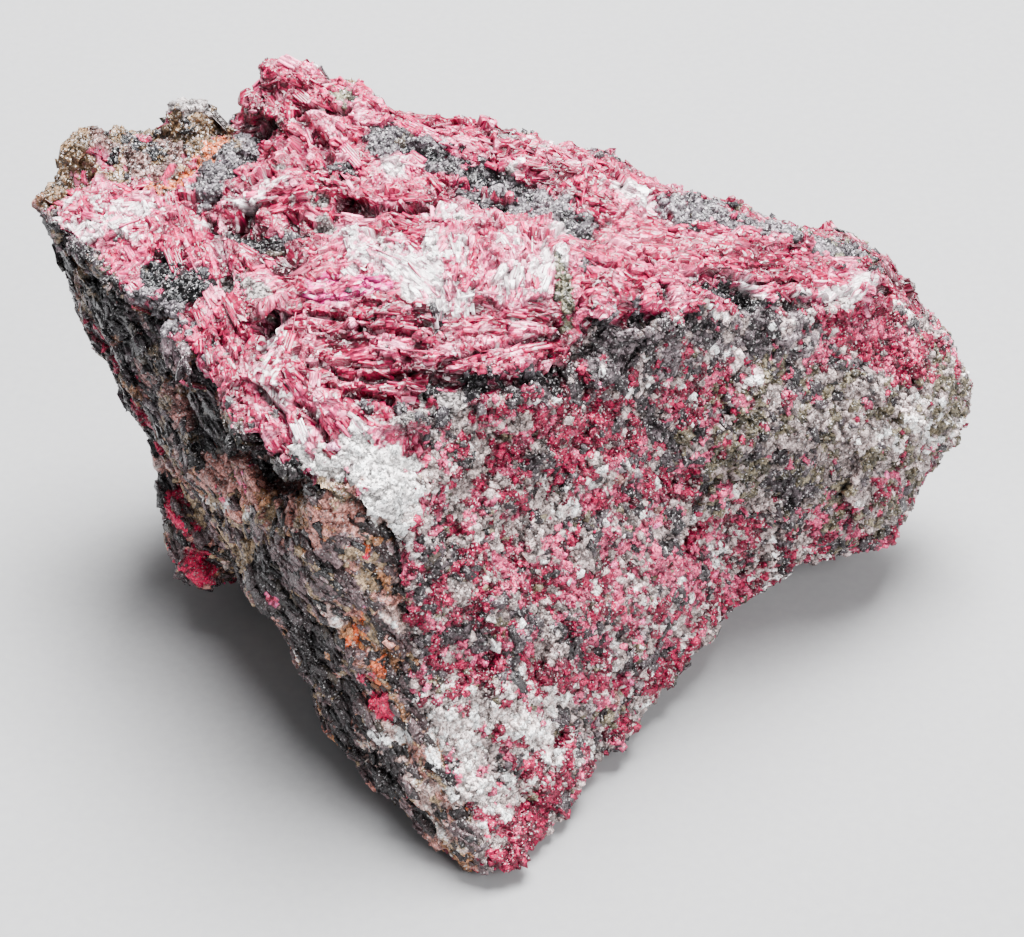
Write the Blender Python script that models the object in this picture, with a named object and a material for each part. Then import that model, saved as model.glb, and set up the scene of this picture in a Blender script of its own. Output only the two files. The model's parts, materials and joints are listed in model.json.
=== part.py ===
"""Roselite specimen: one broken lump of quartz and schist with a vein of bladed cobalt crystals.

The lump is one solid. It is built the way it broke: a rough block first, from the profiles of its
sides and the heights of its top, then the swells and hollows of its broken faces, then the ledges,
crystal sheaves and quartz knobs that stand on it, all joined in one body, and a flat rest below.

Frame: +Z up, +X to the right of the granular front face, which looks towards -Y. The origin is at
the bottom of the lump, in the middle of its box. Tables are in millimetres, meshes in metres.
"""

import math
import random

import bmesh
import bpy
from mathutils import Matrix, Vector, geometry, noise
from mathutils.bvhtree import BVHTree

MM = 0.001
SEED = 17

# ---------------------------------------------------------------- driving dimensions, in mm
BLOCK_VOXEL = 1.5        # grid that the rough block is worked on
BLOCK_TRIANGLES = 5000   # facets that are kept for the broken faces
ROCK_TRIANGLES = 9600    # facets that are kept for the whole lump
REST_CUT = 0.6           # how much is ground off below, to leave a flat rest
REST_ROUGHNESS = 0.9     # how deep the hollows between the flats of the rest are
LATH_PITCH = 1.35        # distance between the laths of a sheaf
STATION_PITCH = 6.0      # distance between the places where a sheaf is fitted to the surface
MOST_STEP = 2.5          # a lath bridges a step in the surface that is higher than this
MOST_FALL = 5.0          # a sheaf ends where the surface is this far above or below its middle
LATH_DEPTH = 2.4         # how deep a lath is rooted in the rock
FILL_PITCH = (7.0, 4.2)  # distance between the low sheaves, along X and along Y
FILL_RISE = (0.3, 0.8)   # how high the low sheaves stand
GRAIN_SIZE = (1.0, 2.8)  # smallest and largest quartz grain
LEDGE_CORNERS = 13       # corners of a ledge's outline
FRONT_GRAINS = 70
LEFT_GRAINS = 34

# Profiles of the block's side, one row for each place round it, from the front point
# counter-clockwise: top rim, waist, lowest edge, foot on the ground.
PROFILES = (
    # front point, and the granular front face to its right
    ((-10.0, -22.0, 35.0), (-9.0, -27.0, 21.0), (-2.0, -37.0, 2.0), (-2.5, -33.0, 0.0)),
    ((-8.0, -17.5, 39.5), (-1.0, -23.5, 20.0), (4.5, -30.5, 2.0), (3.0, -26.5, 0.0)),
    ((-4.0, -13.5, 43.0), (4.0, -17.5, 22.0), (9.0, -20.5, 3.0), (7.5, -16.0, 0.0)),
    ((4.0, -10.0, 44.0), (11.0, -12.5, 23.0), (15.0, -13.5, 4.0), (13.0, -8.0, 0.0)),
    ((8.5, -5.0, 45.0), (16.5, -6.5, 24.0), (21.5, -5.5, 5.0), (19.0, 2.0, 0.0)),
    # the notch between the two lobes of the front face
    ((17.0, 0.5, 44.0), (22.5, -2.0, 24.0), (26.0, 0.5, 6.0), (23.0, 9.0, 0.0)),
    ((24.5, 4.0, 42.0), (31.0, 1.5, 24.0), (33.5, 5.0, 7.5), (27.0, 15.0, 0.0)),
    ((32.0, 9.0, 39.0), (39.0, 6.5, 22.0), (41.5, 7.5, 8.0), (30.0, 19.0, 0.0)),
    ((38.5, 15.0, 36.0), (45.5, 13.0, 23.0), (47.0, 15.5, 12.0), (31.0, 22.0, 0.0)),
    # right point
    ((41.5, 21.0, 34.0), (47.0, 18.5, 27.0), (50.5, 18.0, 19.0), (31.0, 25.0, 0.0)),
    # back, hidden side
    ((38.0, 22.0, 36.0), (44.0, 27.0, 26.0), (44.0, 28.0, 13.0), (29.0, 28.0, 0.0)),
    ((33.5, 22.0, 38.0), (38.0, 31.0, 27.0), (38.0, 32.0, 11.0), (25.0, 29.5, 0.0)),
    ((23.5, 21.0, 42.0), (29.0, 32.0, 28.0), (29.0, 34.5, 12.0), (19.0, 30.0, 0.0)),
    ((14.5, 21.0, 45.0), (18.0, 31.0, 30.0), (19.0, 36.0, 13.0), (12.0, 30.0, 0.0)),
    ((9.0, 22.5, 47.0), (9.0, 32.0, 32.0), (10.0, 36.0, 14.0), (4.0, 29.0, 0.0)),
    ((1.0, 23.0, 49.0), (0.0, 33.0, 33.0), (1.0, 36.0, 13.0), (-4.0, 28.5, 0.0)),
    ((-7.0, 24.5, 50.0), (-8.0, 34.0, 34.0), (-8.0, 36.0, 14.0), (-11.0, 27.5, 0.0)),
    ((-14.0, 28.0, 51.0), (-15.0, 37.0, 35.0), (-15.0, 37.0, 15.0), (-16.0, 26.5, 0.0)),
    ((-19.0, 32.0, 52.0), (-20.0, 39.0, 36.0), (-21.0, 38.0, 17.0), (-20.0, 25.5, 0.0)),
    # the peak, and the notch behind it
    ((-22.0, 31.5, 54.0), (-23.0, 39.5, 36.0), (-24.0, 37.0, 17.0), (-22.5, 24.5, 0.0)),
    ((-26.5, 32.0, 53.0), (-28.0, 39.5, 35.0), (-29.0, 35.0, 17.0), (-24.5, 23.0, 0.0)),
    ((-29.5, 33.5, 46.5), (-32.0, 38.0, 33.0), (-32.0, 33.0, 17.0), (-26.0, 21.5, 0.0)),
    # the ochre corner and the left point
    ((-37.0, 33.0, 46.5), (-39.0, 35.0, 32.0), (-36.0, 29.0, 17.0), (-27.0, 20.0, 0.0)),
    ((-42.0, 29.5, 46.0), (-44.0, 31.0, 33.0), (-39.0, 25.0, 18.0), (-27.5, 18.5, 0.0)),
    ((-47.5, 30.0, 44.0), (-46.5, 26.0, 33.0), (-41.0, 21.0, 18.0), (-27.5, 17.0, 0.0)),
    ((-49.0, 19.0, 43.0), (-45.0, 18.0, 31.0), (-41.0, 17.0, 17.0), (-27.5, 15.5, 0.0)),
    # the dark left face
    ((-44.0, 12.5, 43.5), (-42.0, 12.5, 30.0), (-37.0, 10.5, 11.0), (-27.0, 14.5, 0.0)),
    ((-38.0, 5.5, 43.0), (-37.5, 5.0, 28.0), (-34.0, 4.5, 6.0), (-25.0, 13.5, 0.0)),
    ((-30.5, -4.0, 42.5), (-31.5, -3.0, 27.0), (-28.0, 0.0, 9.5), (-21.5, 11.5, 0.0)),
    ((-25.0, -13.5, 42.0), (-26.5, -9.5, 26.0), (-24.0, -5.0, 9.0), (-18.5, 7.0, 0.0)),
    ((-21.0, -19.0, 40.0), (-21.5, -16.5, 24.0), (-20.5, -14.0, 6.0), (-16.5, -4.5, 0.0)),
    ((-14.0, -20.5, 38.0), (-16.5, -22.5, 22.0), (-14.5, -25.0, 3.0), (-11.5, -20.5, 0.0)),
    ((-11.0, -21.0, 36.5), (-12.0, -26.0, 20.0), (-7.5, -33.0, 3.0), (-6.5, -28.5, 0.0)),
)

# Flat fractures of the hidden back: a point on each one, and the way that it faces.
FRACTURES = (
    ("broad back face", (0.0, 33.5, 20.0), (0.04, 1.0, -0.10)),
    ("left part of the back", (-27.0, 33.0, 22.0), (-0.45, 0.88, 0.0)),
    ("right part of the back", (36.0, 27.5, 20.0), (0.50, 0.86, -0.12)),
    ("long chip along the foot", (2.0, 31.0, 6.0), (-0.05, 0.78, -0.62)),
    ("left foot", (-31.0, 22.0, 9.0), (-0.62, 0.48, -0.62)),
    ("right foot", (36.0, 23.0, 7.0), (0.55, 0.40, -0.73)),
)

# Heights of the top face inside its rim, as points on it.
CROWN = (
    # ochre corner, pale patch and left edge
    (-42.5, 22.5, 45.5), (-34.5, 26.5, 45.5), (-38.5, 14.0, 44.5), (-31.5, 13.0, 44.5),
    (-32.0, 3.5, 44.0), (-25.0, -6.0, 43.5), (-21.0, -16.0, 41.5),
    # notch and recess at the foot of the peak
    (-30.0, 31.0, 44.5), (-27.5, 29.5, 46.0), (-26.0, 27.5, 46.0),
    # peak and upper band
    (-23.0, 27.5, 53.5), (-18.0, 26.0, 52.0), (-21.0, 24.5, 49.5), (-12.5, 21.0, 50.0),
    (5.0, 19.5, 48.0), (15.0, 14.0, 46.0),
    # slate hollow and valley
    (-28.0, 20.0, 46.0), (-8.5, 17.5, 48.5), (-1.0, 15.5, 47.8), (5.0, 12.0, 47.0), (9.0, 9.5, 46.3),
    # recess, with the step above it
    (-16.5, 15.0, 49.5), (-15.5, 12.5, 47.0), (-27.5, 10.0, 45.5),
    # bright plateau, and the brow that falls from it to the front rim
    (-15.5, 0.5, 48.5), (-9.0, 5.0, 49.8), (-3.0, -1.0, 50.2), (3.0, -3.5, 49.5),
    (-20.5, -1.0, 46.0), (-8.0, -6.0, 49.0), (1.0, -7.0, 48.0), (8.5, -1.5, 47.5),
    (-16.5, -8.5, 46.0), (-6.0, -10.0, 46.5), (2.0, -9.3, 46.0),
    (-17.0, -14.0, 43.5), (-12.5, -14.0, 42.5), (-12.5, -18.5, 40.0),
    # right shoulder
    (21.0, 10.5, 45.0), (20.5, 5.5, 44.5), (28.0, 11.0, 42.0), (34.5, 14.5, 38.5),
)

# Swells (+) and hollows (-) of the broken faces: centre, half sizes, turn about Z in degrees, lift.
SWELLS = (
    ("bright bladed plateau", (-4.0, 2.0, 48.0), (24.0, 9.0, 12.0), 12.0, 1.2),
    ("upper band below the peak", (-6.0, 22.0, 50.0), (26.0, 4.0, 9.0), -12.0, 1.0),
    ("slate valley", (0.0, 14.5, 48.0), (17.0, 2.6, 8.0), -24.0, -1.8),
    ("right shoulder", (30.0, 15.0, 40.0), (13.0, 6.0, 8.0), 25.0, 1.2),
    ("notch between the lobes", (25.0, 0.0, 10.0), (6.0, 7.0, 14.0), 0.0, -1.8),
    ("belly of the left lobe", (6.0, -20.0, 18.0), (11.0, 12.0, 14.0), 0.0, 1.2),
    ("belly of the right lobe", (39.0, 8.0, 22.0), (10.0, 9.0, 10.0), 0.0, 1.3),
    ("hollow under the left ledge", (-23.0, -13.5, 33.0), (9.0, 6.0, 5.5), -25.0, -3.6),
    ("shelf on the left face", (-25.0, -10.0, 19.0), (13.0, 9.0, 7.0), -25.0, 2.6),
    ("hollow below the left point", (-38.0, 8.0, 24.0), (5.0, 6.0, 7.0), 0.0, -1.6),
    ("lobe at the left foot", (-35.0, 4.0, 9.0), (6.0, 6.0, 6.0), 0.0, 1.4),
    ("hollow beside that lobe", (-27.0, -3.0, 6.0), (4.0, 6.0, 7.0), 0.0, -2.2),
)

# Ledges: broken edges of the vein's layers. Middle, heading in degrees, length, width, thickness,
# tip-up in degrees of the edge on the heading's right.
LEDGES = (
    ("lip over the left recess", (-17.0, -18.6, 38.9), -18.0, 14.0, 5.0, 2.2, -6.0),
    ("lip of the brow", (-1.3, -10.9, 43.9), 9.0, 13.0, 5.0, 2.0, 8.0),
    ("lip of the right band", (12.6, -1.6, 44.6), 27.0, 12.0, 5.0, 1.8, 6.0),
    ("lip of the right shoulder", (32.6, 11.0, 38.8), 41.0, 15.0, 5.0, 1.8, 4.0),
    ("dark flake", (-22.2, -3.0, 47.0), 8.0, 7.0, 2.6, 0.9, 22.0),
    ("lip over the upper recess", (-12.2, 13.4, 49.0), 2.0, 10.0, 4.0, 1.6, 10.0),
    ("first slate ridge", (-7.8, 17.6, 49.2), -40.0, 9.5, 2.6, 1.6, 4.0),
    ("second slate ridge", (1.3, 12.6, 48.0), -27.0, 11.0, 2.6, 1.6, 4.0),
    ("lip of the peak", (-25.0, 28.3, 49.8), -43.0, 9.0, 4.0, 2.2, 8.0),
    ("ochre slab", (-39.5, 27.4, 45.7), 22.0, 14.0, 6.0, 2.0, -3.0),
    ("lip of the left edge", (-40.2, 9.0, 43.4), -49.0, 18.0, 4.0, 2.2, -4.0),
)

# Crystal sheaves on the top face: middle, heading in degrees, length, number of laths, rise.
SHEAVES = (
    ("long left bundle", (-27.6, 0.7), -77.0, 33.0, 4, 1.1),
    ("outer left bundle", (-31.2, 5.1), -70.0, 16.5, 3, 0.8),
    ("pale rod", (-24.4, 15.4), -6.0, 12.0, 2, 1.4),
    ("slanting bundle", (-20.8, 2.3), 39.0, 11.0, 4, 0.9),
    ("bright fan", (-11.6, -0.7), -43.0, 13.0, 5, 0.8),
    ("white block", (-5.6, 2.1), -92.0, 16.0, 5, 1.0),
    ("magenta flat", (-13.6, -3.6), -2.0, 8.0, 4, 0.7),
    ("low crimson bundle", (-12.3, -10.4), -13.0, 9.5, 4, 1.0),
    ("middle crimson bundle", (-1.8, -9.4), 1.0, 13.0, 3, 0.9),
    ("upper crimson bundle", (-5.9, -6.4), -2.0, 17.0, 3, 0.8),
    ("left crimson bundle", (-16.6, -10.6), 16.0, 8.0, 3, 0.9),
    ("striped blades", (-21.9, -7.7), -76.0, 8.0, 5, 1.3),
    ("blades under the peak", (-20.6, 19.1), -67.0, 12.0, 5, 0.9),
    ("peak band", (-15.1, 24.4), -41.0, 10.0, 4, 0.9),
    ("upper band, left", (-4.3, 21.2), -20.0, 11.0, 4, 0.8),
    ("upper band, right", (5.9, 18.3), -30.0, 11.5, 3, 0.8),
    ("standing blades", (6.6, 16.4), -88.0, 9.0, 5, 1.0),
    ("right end of the plateau", (3.7, 3.8), -83.0, 14.0, 5, 0.9),
    ("long band", (14.2, 8.4), -17.0, 11.5, 4, 0.9),
    ("long band, middle", (24.0, 10.6), 4.0, 10.5, 4, 0.9),
    ("long band, right", (33.1, 14.2), 15.0, 10.0, 3, 0.9),
    ("single tall blades", (15.2, 2.7), -89.0, 5.5, 3, 1.3),
    ("right crimson bundle", (12.5, 0.8), 0.0, 8.0, 3, 0.9),
    ("shoulder blades", (38.6, 17.0), -60.0, 6.0, 3, 0.9),
    ("corner blades", (-14.8, -15.3), -32.0, 6.0, 4, 0.8),
    ("corner blades, left", (-19.5, -15.0), -65.0, 7.0, 3, 0.9),
    ("bar in the recess", (-12.4, 10.8), -6.0, 9.0, 2, 0.9),
    ("short bar", (-21.4, -4.4), 1.0, 7.0, 2, 0.8),
)

def clear_scene():
    for thing in list(bpy.data.objects):
        bpy.data.objects.remove(thing, do_unlink=True)


def new_object(name, shape):
    """An object whose mesh is this bmesh, which is freed."""
    mesh = bpy.data.meshes.new(name)
    shape.to_mesh(mesh)
    shape.free()
    made = bpy.data.objects.new(name, mesh)
    bpy.context.scene.collection.objects.link(made)
    return made


def apply_modifier(thing, kind, **settings):
    """Gives the object one modifier and applies it."""
    modifier = thing.modifiers.new(kind.title(), kind)
    for key, value in settings.items():
        setattr(modifier, key, value)
    graph = bpy.context.evaluated_depsgraph_get()
    mesh = bpy.data.meshes.new_from_object(thing.evaluated_get(graph))
    thing.modifiers.clear()
    thing.data = mesh


# ---------------------------------------------------------------- the block

def rough_block():
    """The block as it was knocked off: its side profiles joined round, with the top and the foot closed."""
    shape = bmesh.new()
    rings = [[shape.verts.new(Vector(row[k]) * MM) for row in PROFILES] for k in range(4)]
    count = len(PROFILES)
    for upper, lower in zip(rings, rings[1:]):
        for i in range(count):
            j = (i + 1) % count
            shape.faces.new((upper[i], lower[i], lower[j], upper[j]))
    shape.faces.new(rings[-1])
    lay_top(shape, rings[0])
    split_back(shape)
    bmesh.ops.recalc_face_normals(shape, faces=shape.faces)
    return new_object("block", shape)


def split_back(shape):
    """Takes off what lies beyond each fracture of the back, and closes the cut."""
    for _, point, facing in FRACTURES:
        everything = shape.verts[:] + shape.edges[:] + shape.faces[:]
        cut = bmesh.ops.bisect_plane(
            shape, geom=everything, plane_co=Vector(point) * MM, plane_no=Vector(facing), clear_outer=True
        )
        edges = [part for part in cut["geom_cut"] if isinstance(part, bmesh.types.BMEdge)]
        bmesh.ops.triangle_fill(shape, edges=edges, use_beauty=True, use_dissolve=False)


def lay_top(shape, rim):
    """Closes the top with triangles between the rim and the crown's points, as seen in plan."""
    verts = rim + [shape.verts.new(Vector(point) * MM) for point in CROWN]
    plan = [v.co.xy for v in verts]
    edges = [(i, (i + 1) % len(rim)) for i in range(len(rim))]
    inside_only = 1
    laid = geometry.delaunay_2d_cdt(plan, edges, [], inside_only, 1e-7)
    sources = laid[3]
    for face in laid[2]:
        shape.faces.new([verts[sources[i][0]] for i in face])


def bump(t):
    """1 at t = 0, falling smoothly to 0 at t = 1."""
    return (1 - min(t, 1.0) ** 2) ** 2


def swell_at(point):
    """How far the named swells and hollows move this point, in mm."""
    total = 0.0
    for _, centre, half, turn, lift in SWELLS:
        away = Matrix.Rotation(-math.radians(turn), 3, "Z") @ (point - Vector(centre))
        total += lift * bump(Vector([a / h for a, h in zip(away, half)]).length)
    return total


def roughness_at(point):
    """Broken-rock roughness in mm: broad chips, then lumps, then pitted cells."""
    chips = noise.fractal(point / 11.0, 0.9, 2.1, 3, noise_basis="PERLIN_ORIGINAL")
    lumps = noise.noise(point / 4.5 + Vector((7.0, 3.0, 1.0)))
    cells = noise.voronoi(point / 6.0)[0][0]
    return 1.1 * chips + 0.7 * lumps - 0.8 * (0.5 - cells)


def weather(block):
    """Moves the grid's points by the swells and the roughness. The underside only gets hollows."""
    for v, normal in [(v, v.normal.copy()) for v in block.data.vertices]:
        point = v.co / MM
        side = max(0.0, min(1.0, (point.z - 0.5) / 3.0))
        hollow = REST_ROUGHNESS * (0.4 + noise.noise(point / 7.0 + Vector((2.0, 9.0, 4.0))))
        v.co += normal * side * (swell_at(point) + roughness_at(point)) * MM
        v.co.z += (1 - side) * hollow * MM


# ---------------------------------------------------------------- what stands on it

def surface_of(thing):
    """A function that gives the point and the normal where a ray first meets the object, in mm."""
    graph = bpy.context.evaluated_depsgraph_get()
    tree = BVHTree.FromObject(thing, graph)

    def meet(origin, direction):
        point, normal, _, _ = tree.ray_cast(Vector(origin) * MM, Vector(direction))
        return (point / MM, normal) if point else (None, None)

    return meet


def add_prism(shape, ring, along):
    """A closed prism: the ring's points, and the same points moved along."""
    near = [shape.verts.new(point * MM) for point in ring]
    far = [shape.verts.new((point + along) * MM) for point in ring]
    shape.faces.new(near)
    shape.faces.new(far[::-1])
    for i in range(len(ring)):
        j = (i + 1) % len(ring)
        shape.faces.new((near[j], near[i], far[i], far[j]))


def add_ledge(shape, middle, heading, length, width, thick, tip, rng):
    """A broken plate: an uneven outline, as thick as the layer that it belongs to."""
    turn = Matrix.Rotation(math.radians(heading), 3, "Z") @ Matrix.Rotation(-math.radians(tip), 3, "X")
    ring = []
    for k in range(LEDGE_CORNERS):
        angle = math.tau * k / LEDGE_CORNERS
        reach = rng.uniform(0.65, 1.1)
        flat = Vector((length / 2 * reach * math.cos(angle), width / 2 * reach * math.sin(angle), 0.0))
        ring.append(Vector(middle) + turn @ flat)
    add_prism(shape, ring, turn @ Vector((0.0, 0.0, -thick)))


def add_sheaf(shape, meet, middle, heading, length, laths, rise, rng):
    """A sheaf of laths as one striated slab that follows the surface, with a ragged end on each lath."""
    along = Vector((math.cos(math.radians(heading)), math.sin(math.radians(heading)), 0.0))
    across = Vector((-along.y, along.x, 0.0))
    lines = 2 * laths + 1
    steps = max(2, round(length / STATION_PITCH) + 1)
    heights = [rise * rng.uniform(0.75, 1.15) * (1.0 if k % 2 else 0.45) for k in range(lines)]
    ragged = [(rng.uniform(-1.4, 1.4), rng.uniform(-1.4, 1.4)) for _ in range(lines)]
    middle_height = meet((*middle, 90.0), (0, 0, -1))[0].z
    tops = []
    for step in range(steps):
        share = step / (steps - 1)
        width = laths * LATH_PITCH * rng.uniform(0.8, 1.1)
        row = []
        for k in range(lines):
            t = (share - 0.5) * length + (1 - share) * ragged[k][0] + share * ragged[k][1]
            u = (k / (lines - 1) - 0.5) * width
            row.append(Vector((*middle, 0.0)) + along * t + across * u)
        found = [meet(Vector((*spot.xy, 90.0)), (0, 0, -1))[0] for spot in row]
        known = sorted(point.z for point in found if point)
        level = known[len(known) // 2] if len(known) > laths else 0.0
        if abs(level - middle_height) > MOST_FALL:
            continue
        for k, point in enumerate(found):
            bridged = point is None or abs(point.z - level) > MOST_STEP
            row[k].z = (level if bridged else point.z) + heights[k]
        tops.append(row)
    if len(tops) < 2:
        return
    feet = [[Vector((*spot.xy, min(top.z for top in row) - LATH_DEPTH)) for spot in row] for row in tops]
    upper = [[shape.verts.new(point * MM) for point in row] for row in tops]
    lower = [[shape.verts.new(point * MM) for point in row] for row in feet]
    for grid in (upper, lower):
        for near, far in zip(grid, grid[1:]):
            for k in range(lines - 1):
                shape.faces.new((near[k], near[k + 1], far[k + 1], far[k]))
    for side in (0, -1):
        for k in range(lines - 1):
            shape.faces.new((upper[side][k], upper[side][k + 1], lower[side][k + 1], lower[side][k]))
        for step in range(len(tops) - 1):
            corners = (upper[step][side], upper[step + 1][side], lower[step + 1][side], lower[step][side])
            shape.faces.new(corners)


def add_grain(shape, centre, normal, size, rng):
    """A quartz grain: a small uneven block, turned at random in the face that it sits in."""
    made = bmesh.ops.create_cube(shape, size=size * MM)
    turn = normal.to_track_quat("Z", "Y").to_matrix() @ Matrix.Rotation(rng.uniform(0, math.tau), 3, "Z")
    turn = turn @ Matrix.Rotation(rng.uniform(-0.5, 0.5), 3, "X") @ Matrix.Rotation(rng.uniform(-0.5, 0.5), 3, "Y")
    stretch = Vector((rng.uniform(0.8, 1.5), rng.uniform(0.6, 1.0), rng.uniform(0.6, 0.9)))
    for v in made["verts"]:
        v.co = turn @ (v.co * stretch * rng.uniform(0.8, 1.1)) + (centre - normal * size * 0.25) * MM


def ledges_on():
    rng = random.Random(SEED)
    made = []
    for name, *sizes in LEDGES:
        shape = bmesh.new()
        add_ledge(shape, *sizes, rng)
        made.append(new_object(name, shape))
    return made


def sheaves_on(meet):
    rng = random.Random(SEED + 1)
    made = []
    for name, *sizes in SHEAVES:
        shape = bmesh.new()
        add_sheaf(shape, meet, *sizes, rng)
        made.append(new_object(name, shape))
    return made


def heading_at(x, y):
    """The way that the vein's blades lie here: as in the nearest named sheaf."""
    nearest = min(SHEAVES, key=lambda row: (row[1][0] - x) ** 2 + (row[1][1] - y) ** 2)
    return nearest[2]


def low_sheaves_on(meet):
    """Low sheaves between the named ones, all over the vein."""
    rng = random.Random(SEED + 3)
    made = []
    across, along = FILL_PITCH
    for i in range(-7, 8):
        for j in range(-6, 8):
            x, y = (i + 0.5 * (j % 2) + rng.uniform(-0.3, 0.3)) * across, (j + rng.uniform(-0.3, 0.3)) * along
            heading = heading_at(x, y) + rng.uniform(-22, 22)
            length, laths, rise = rng.uniform(6, 11), rng.choice((3, 4, 4, 5)), rng.uniform(*FILL_RISE)
            point, normal = meet((x, y, 90.0), (0, 0, -1))
            if point is None or normal.z < 0.6 or point.z < 38.0 or not in_vein(point):
                continue
            half = Vector((math.cos(math.radians(heading)), math.sin(math.radians(heading)), 0.0)) * length / 2
            ends = [meet((x + side * half.x, y + side * half.y, 90.0), (0, 0, -1)) for side in (-1.25, 1.25)]
            if any(end is None or facing.z < 0.35 for end, facing in ends):
                length = 5.0
            shape = bmesh.new()
            add_sheaf(shape, meet, (x, y), heading, length, laths, rise, rng)
            made.append(new_object("low sheaf", shape))
    return made


def grains_on(meet):
    """Quartz grains, scattered over the granular front face and the dark left face."""
    rng = random.Random(SEED + 2)
    made = []
    fields = (
        # grains, middle of the field, direction to the rock, half width, half height
        (FRONT_GRAINS, Vector((22.0, -8.0, 20.0)), Vector((-0.62, 0.74, -0.28)), 31.0, 17.0),
        (LEFT_GRAINS, Vector((-26.0, -14.0, 18.0)), Vector((0.70, 0.68, -0.2)), 24.0, 14.0),
    )
    for count, middle, inward, half_width, half_height in fields:
        across = inward.cross(Vector((0, 0, 1))).normalized()
        for _ in range(count):
            aim = middle + across * rng.uniform(-half_width, half_width)
            aim.z += rng.uniform(-half_height, half_height)
            point, normal = meet(aim - inward * 60, inward)
            if point and point.z > 3.0 and normal.dot(inward) < -0.5:
                shape = bmesh.new()
                size = GRAIN_SIZE[0] + (GRAIN_SIZE[1] - GRAIN_SIZE[0]) * rng.random() ** 2
                add_grain(shape, point, normal, size, rng)
                made.append(new_object("grain", shape))
    return made


def join(rock, pieces):
    """Joins the pieces to the rock one after another, in one body, which has no inner walls."""
    for piece in pieces:
        shape = bmesh.new()
        shape.from_mesh(piece.data)
        bmesh.ops.recalc_face_normals(shape, faces=shape.faces)
        bmesh.ops.triangulate(shape, faces=shape.faces)
        shape.to_mesh(piece.data)
        shape.free()
        apply_modifier(rock, "BOOLEAN", operation="UNION", object=piece, solver="MANIFOLD")
        bpy.data.objects.remove(piece, do_unlink=True)


def drop_hollows(rock):
    """Keeps the outer skin alone, so that no gap is closed in, without the points midway on its edges."""
    bm = bmesh.new()
    bm.from_mesh(rock.data)
    left = set(bm.faces)
    skins = []
    while left:
        front = [left.pop()]
        skin = set(front)
        while front:
            near = {other for face in front for edge in face.edges for other in edge.link_faces} & left
            left -= near
            skin |= near
            front = list(near)
        skins.append(skin)
    outer = max(skins, key=len)
    bmesh.ops.delete(bm, geom=[face for face in bm.faces if face not in outer], context="FACES")
    bmesh.ops.delete(bm, geom=[v for v in bm.verts if not v.link_faces], context="VERTS")
    midway = [v for v in bm.verts if len(v.link_edges) == 2]
    bmesh.ops.dissolve_verts(bm, verts=midway)
    bm.to_mesh(rock.data)
    bm.free()


def grind_rest(rock):
    """Cuts the underside flat, and puts the origin at the bottom, in the middle of the box."""
    cutter = bmesh.new()
    bmesh.ops.create_cube(cutter, size=0.2)
    bmesh.ops.translate(cutter, verts=cutter.verts, vec=(0, 0, REST_CUT * MM - 0.1))
    below = new_object("below", cutter)
    apply_modifier(rock, "BOOLEAN", operation="DIFFERENCE", object=below, solver="MANIFOLD")
    bpy.data.objects.remove(below, do_unlink=True)
    corners = [v.co for v in rock.data.vertices]
    low = Vector([min(c[k] for c in corners) for k in range(3)])
    high = Vector([max(c[k] for c in corners) for k in range(3)])
    rock.data.transform(Matrix.Translation((-(low.x + high.x) / 2, -(low.y + high.y) / 2, -low.z)))


# ---------------------------------------------------------------- minerals

MINERALS = {
    # name: colour, roughness
    "roselite_vein": ((0.52, 0.09, 0.17, 1.0), 0.35),
    "granular_quartz": ((0.36, 0.30, 0.31, 1.0), 0.55),
    "dark_schist": ((0.06, 0.06, 0.06, 1.0), 0.5),
}


def in_vein(point):
    """Whether this point, in mm, is in the bladed vein: on the top, but not in its bare corners."""
    ochre_corner = point.x < -27.0 and point.y > 19.0
    grey_band = point.x > 10.0 and point.y > 26.0 - 0.35 * (point.x - 10.0) + 1.5
    return point.z > 36.0 and not ochre_corner and not grey_band


def mineral_of(face):
    """The vein is what faces up, the dark schist what faces left, and the rest is granular quartz."""
    if in_vein(face.center / MM) and face.normal.z > 0.35:
        return "roselite_vein"
    if face.normal.x < -0.25 and face.center.x < 0:
        return "dark_schist"
    return "granular_quartz"


def paint(rock):
    names = list(MINERALS)
    rock.data.materials.clear()
    for name in names:
        colour, roughness = MINERALS[name]
        material = bpy.data.materials.new(name)
        material.use_nodes = True
        surface = material.node_tree.nodes["Principled BSDF"]
        surface.inputs["Base Color"].default_value = colour
        surface.inputs["Roughness"].default_value = roughness
        surface.inputs["Metallic"].default_value = 0.0
        rock.data.materials.append(material)
    for face in rock.data.polygons:
        face.material_index = names.index(mineral_of(face))


def main():
    clear_scene()
    rock = rough_block()
    apply_modifier(rock, "REMESH", mode="VOXEL", voxel_size=BLOCK_VOXEL * MM)
    weather(rock)
    apply_modifier(rock, "TRIANGULATE")
    apply_modifier(rock, "DECIMATE", ratio=BLOCK_TRIANGLES / len(rock.data.polygons))
    meet = surface_of(rock)
    join(rock, ledges_on() + low_sheaves_on(meet) + sheaves_on(meet) + grains_on(meet))
    drop_hollows(rock)
    apply_modifier(rock, "TRIANGULATE", ngon_method="CLIP")
    apply_modifier(rock, "DECIMATE", ratio=ROCK_TRIANGLES / len(rock.data.polygons))
    grind_rest(rock)
    paint(rock)
    rock.name = "specimen"


main()
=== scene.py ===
import json
import math
import random

import bpy
import numpy as np
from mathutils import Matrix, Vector, noise
from mathutils.bvhtree import BVHTree

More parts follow.
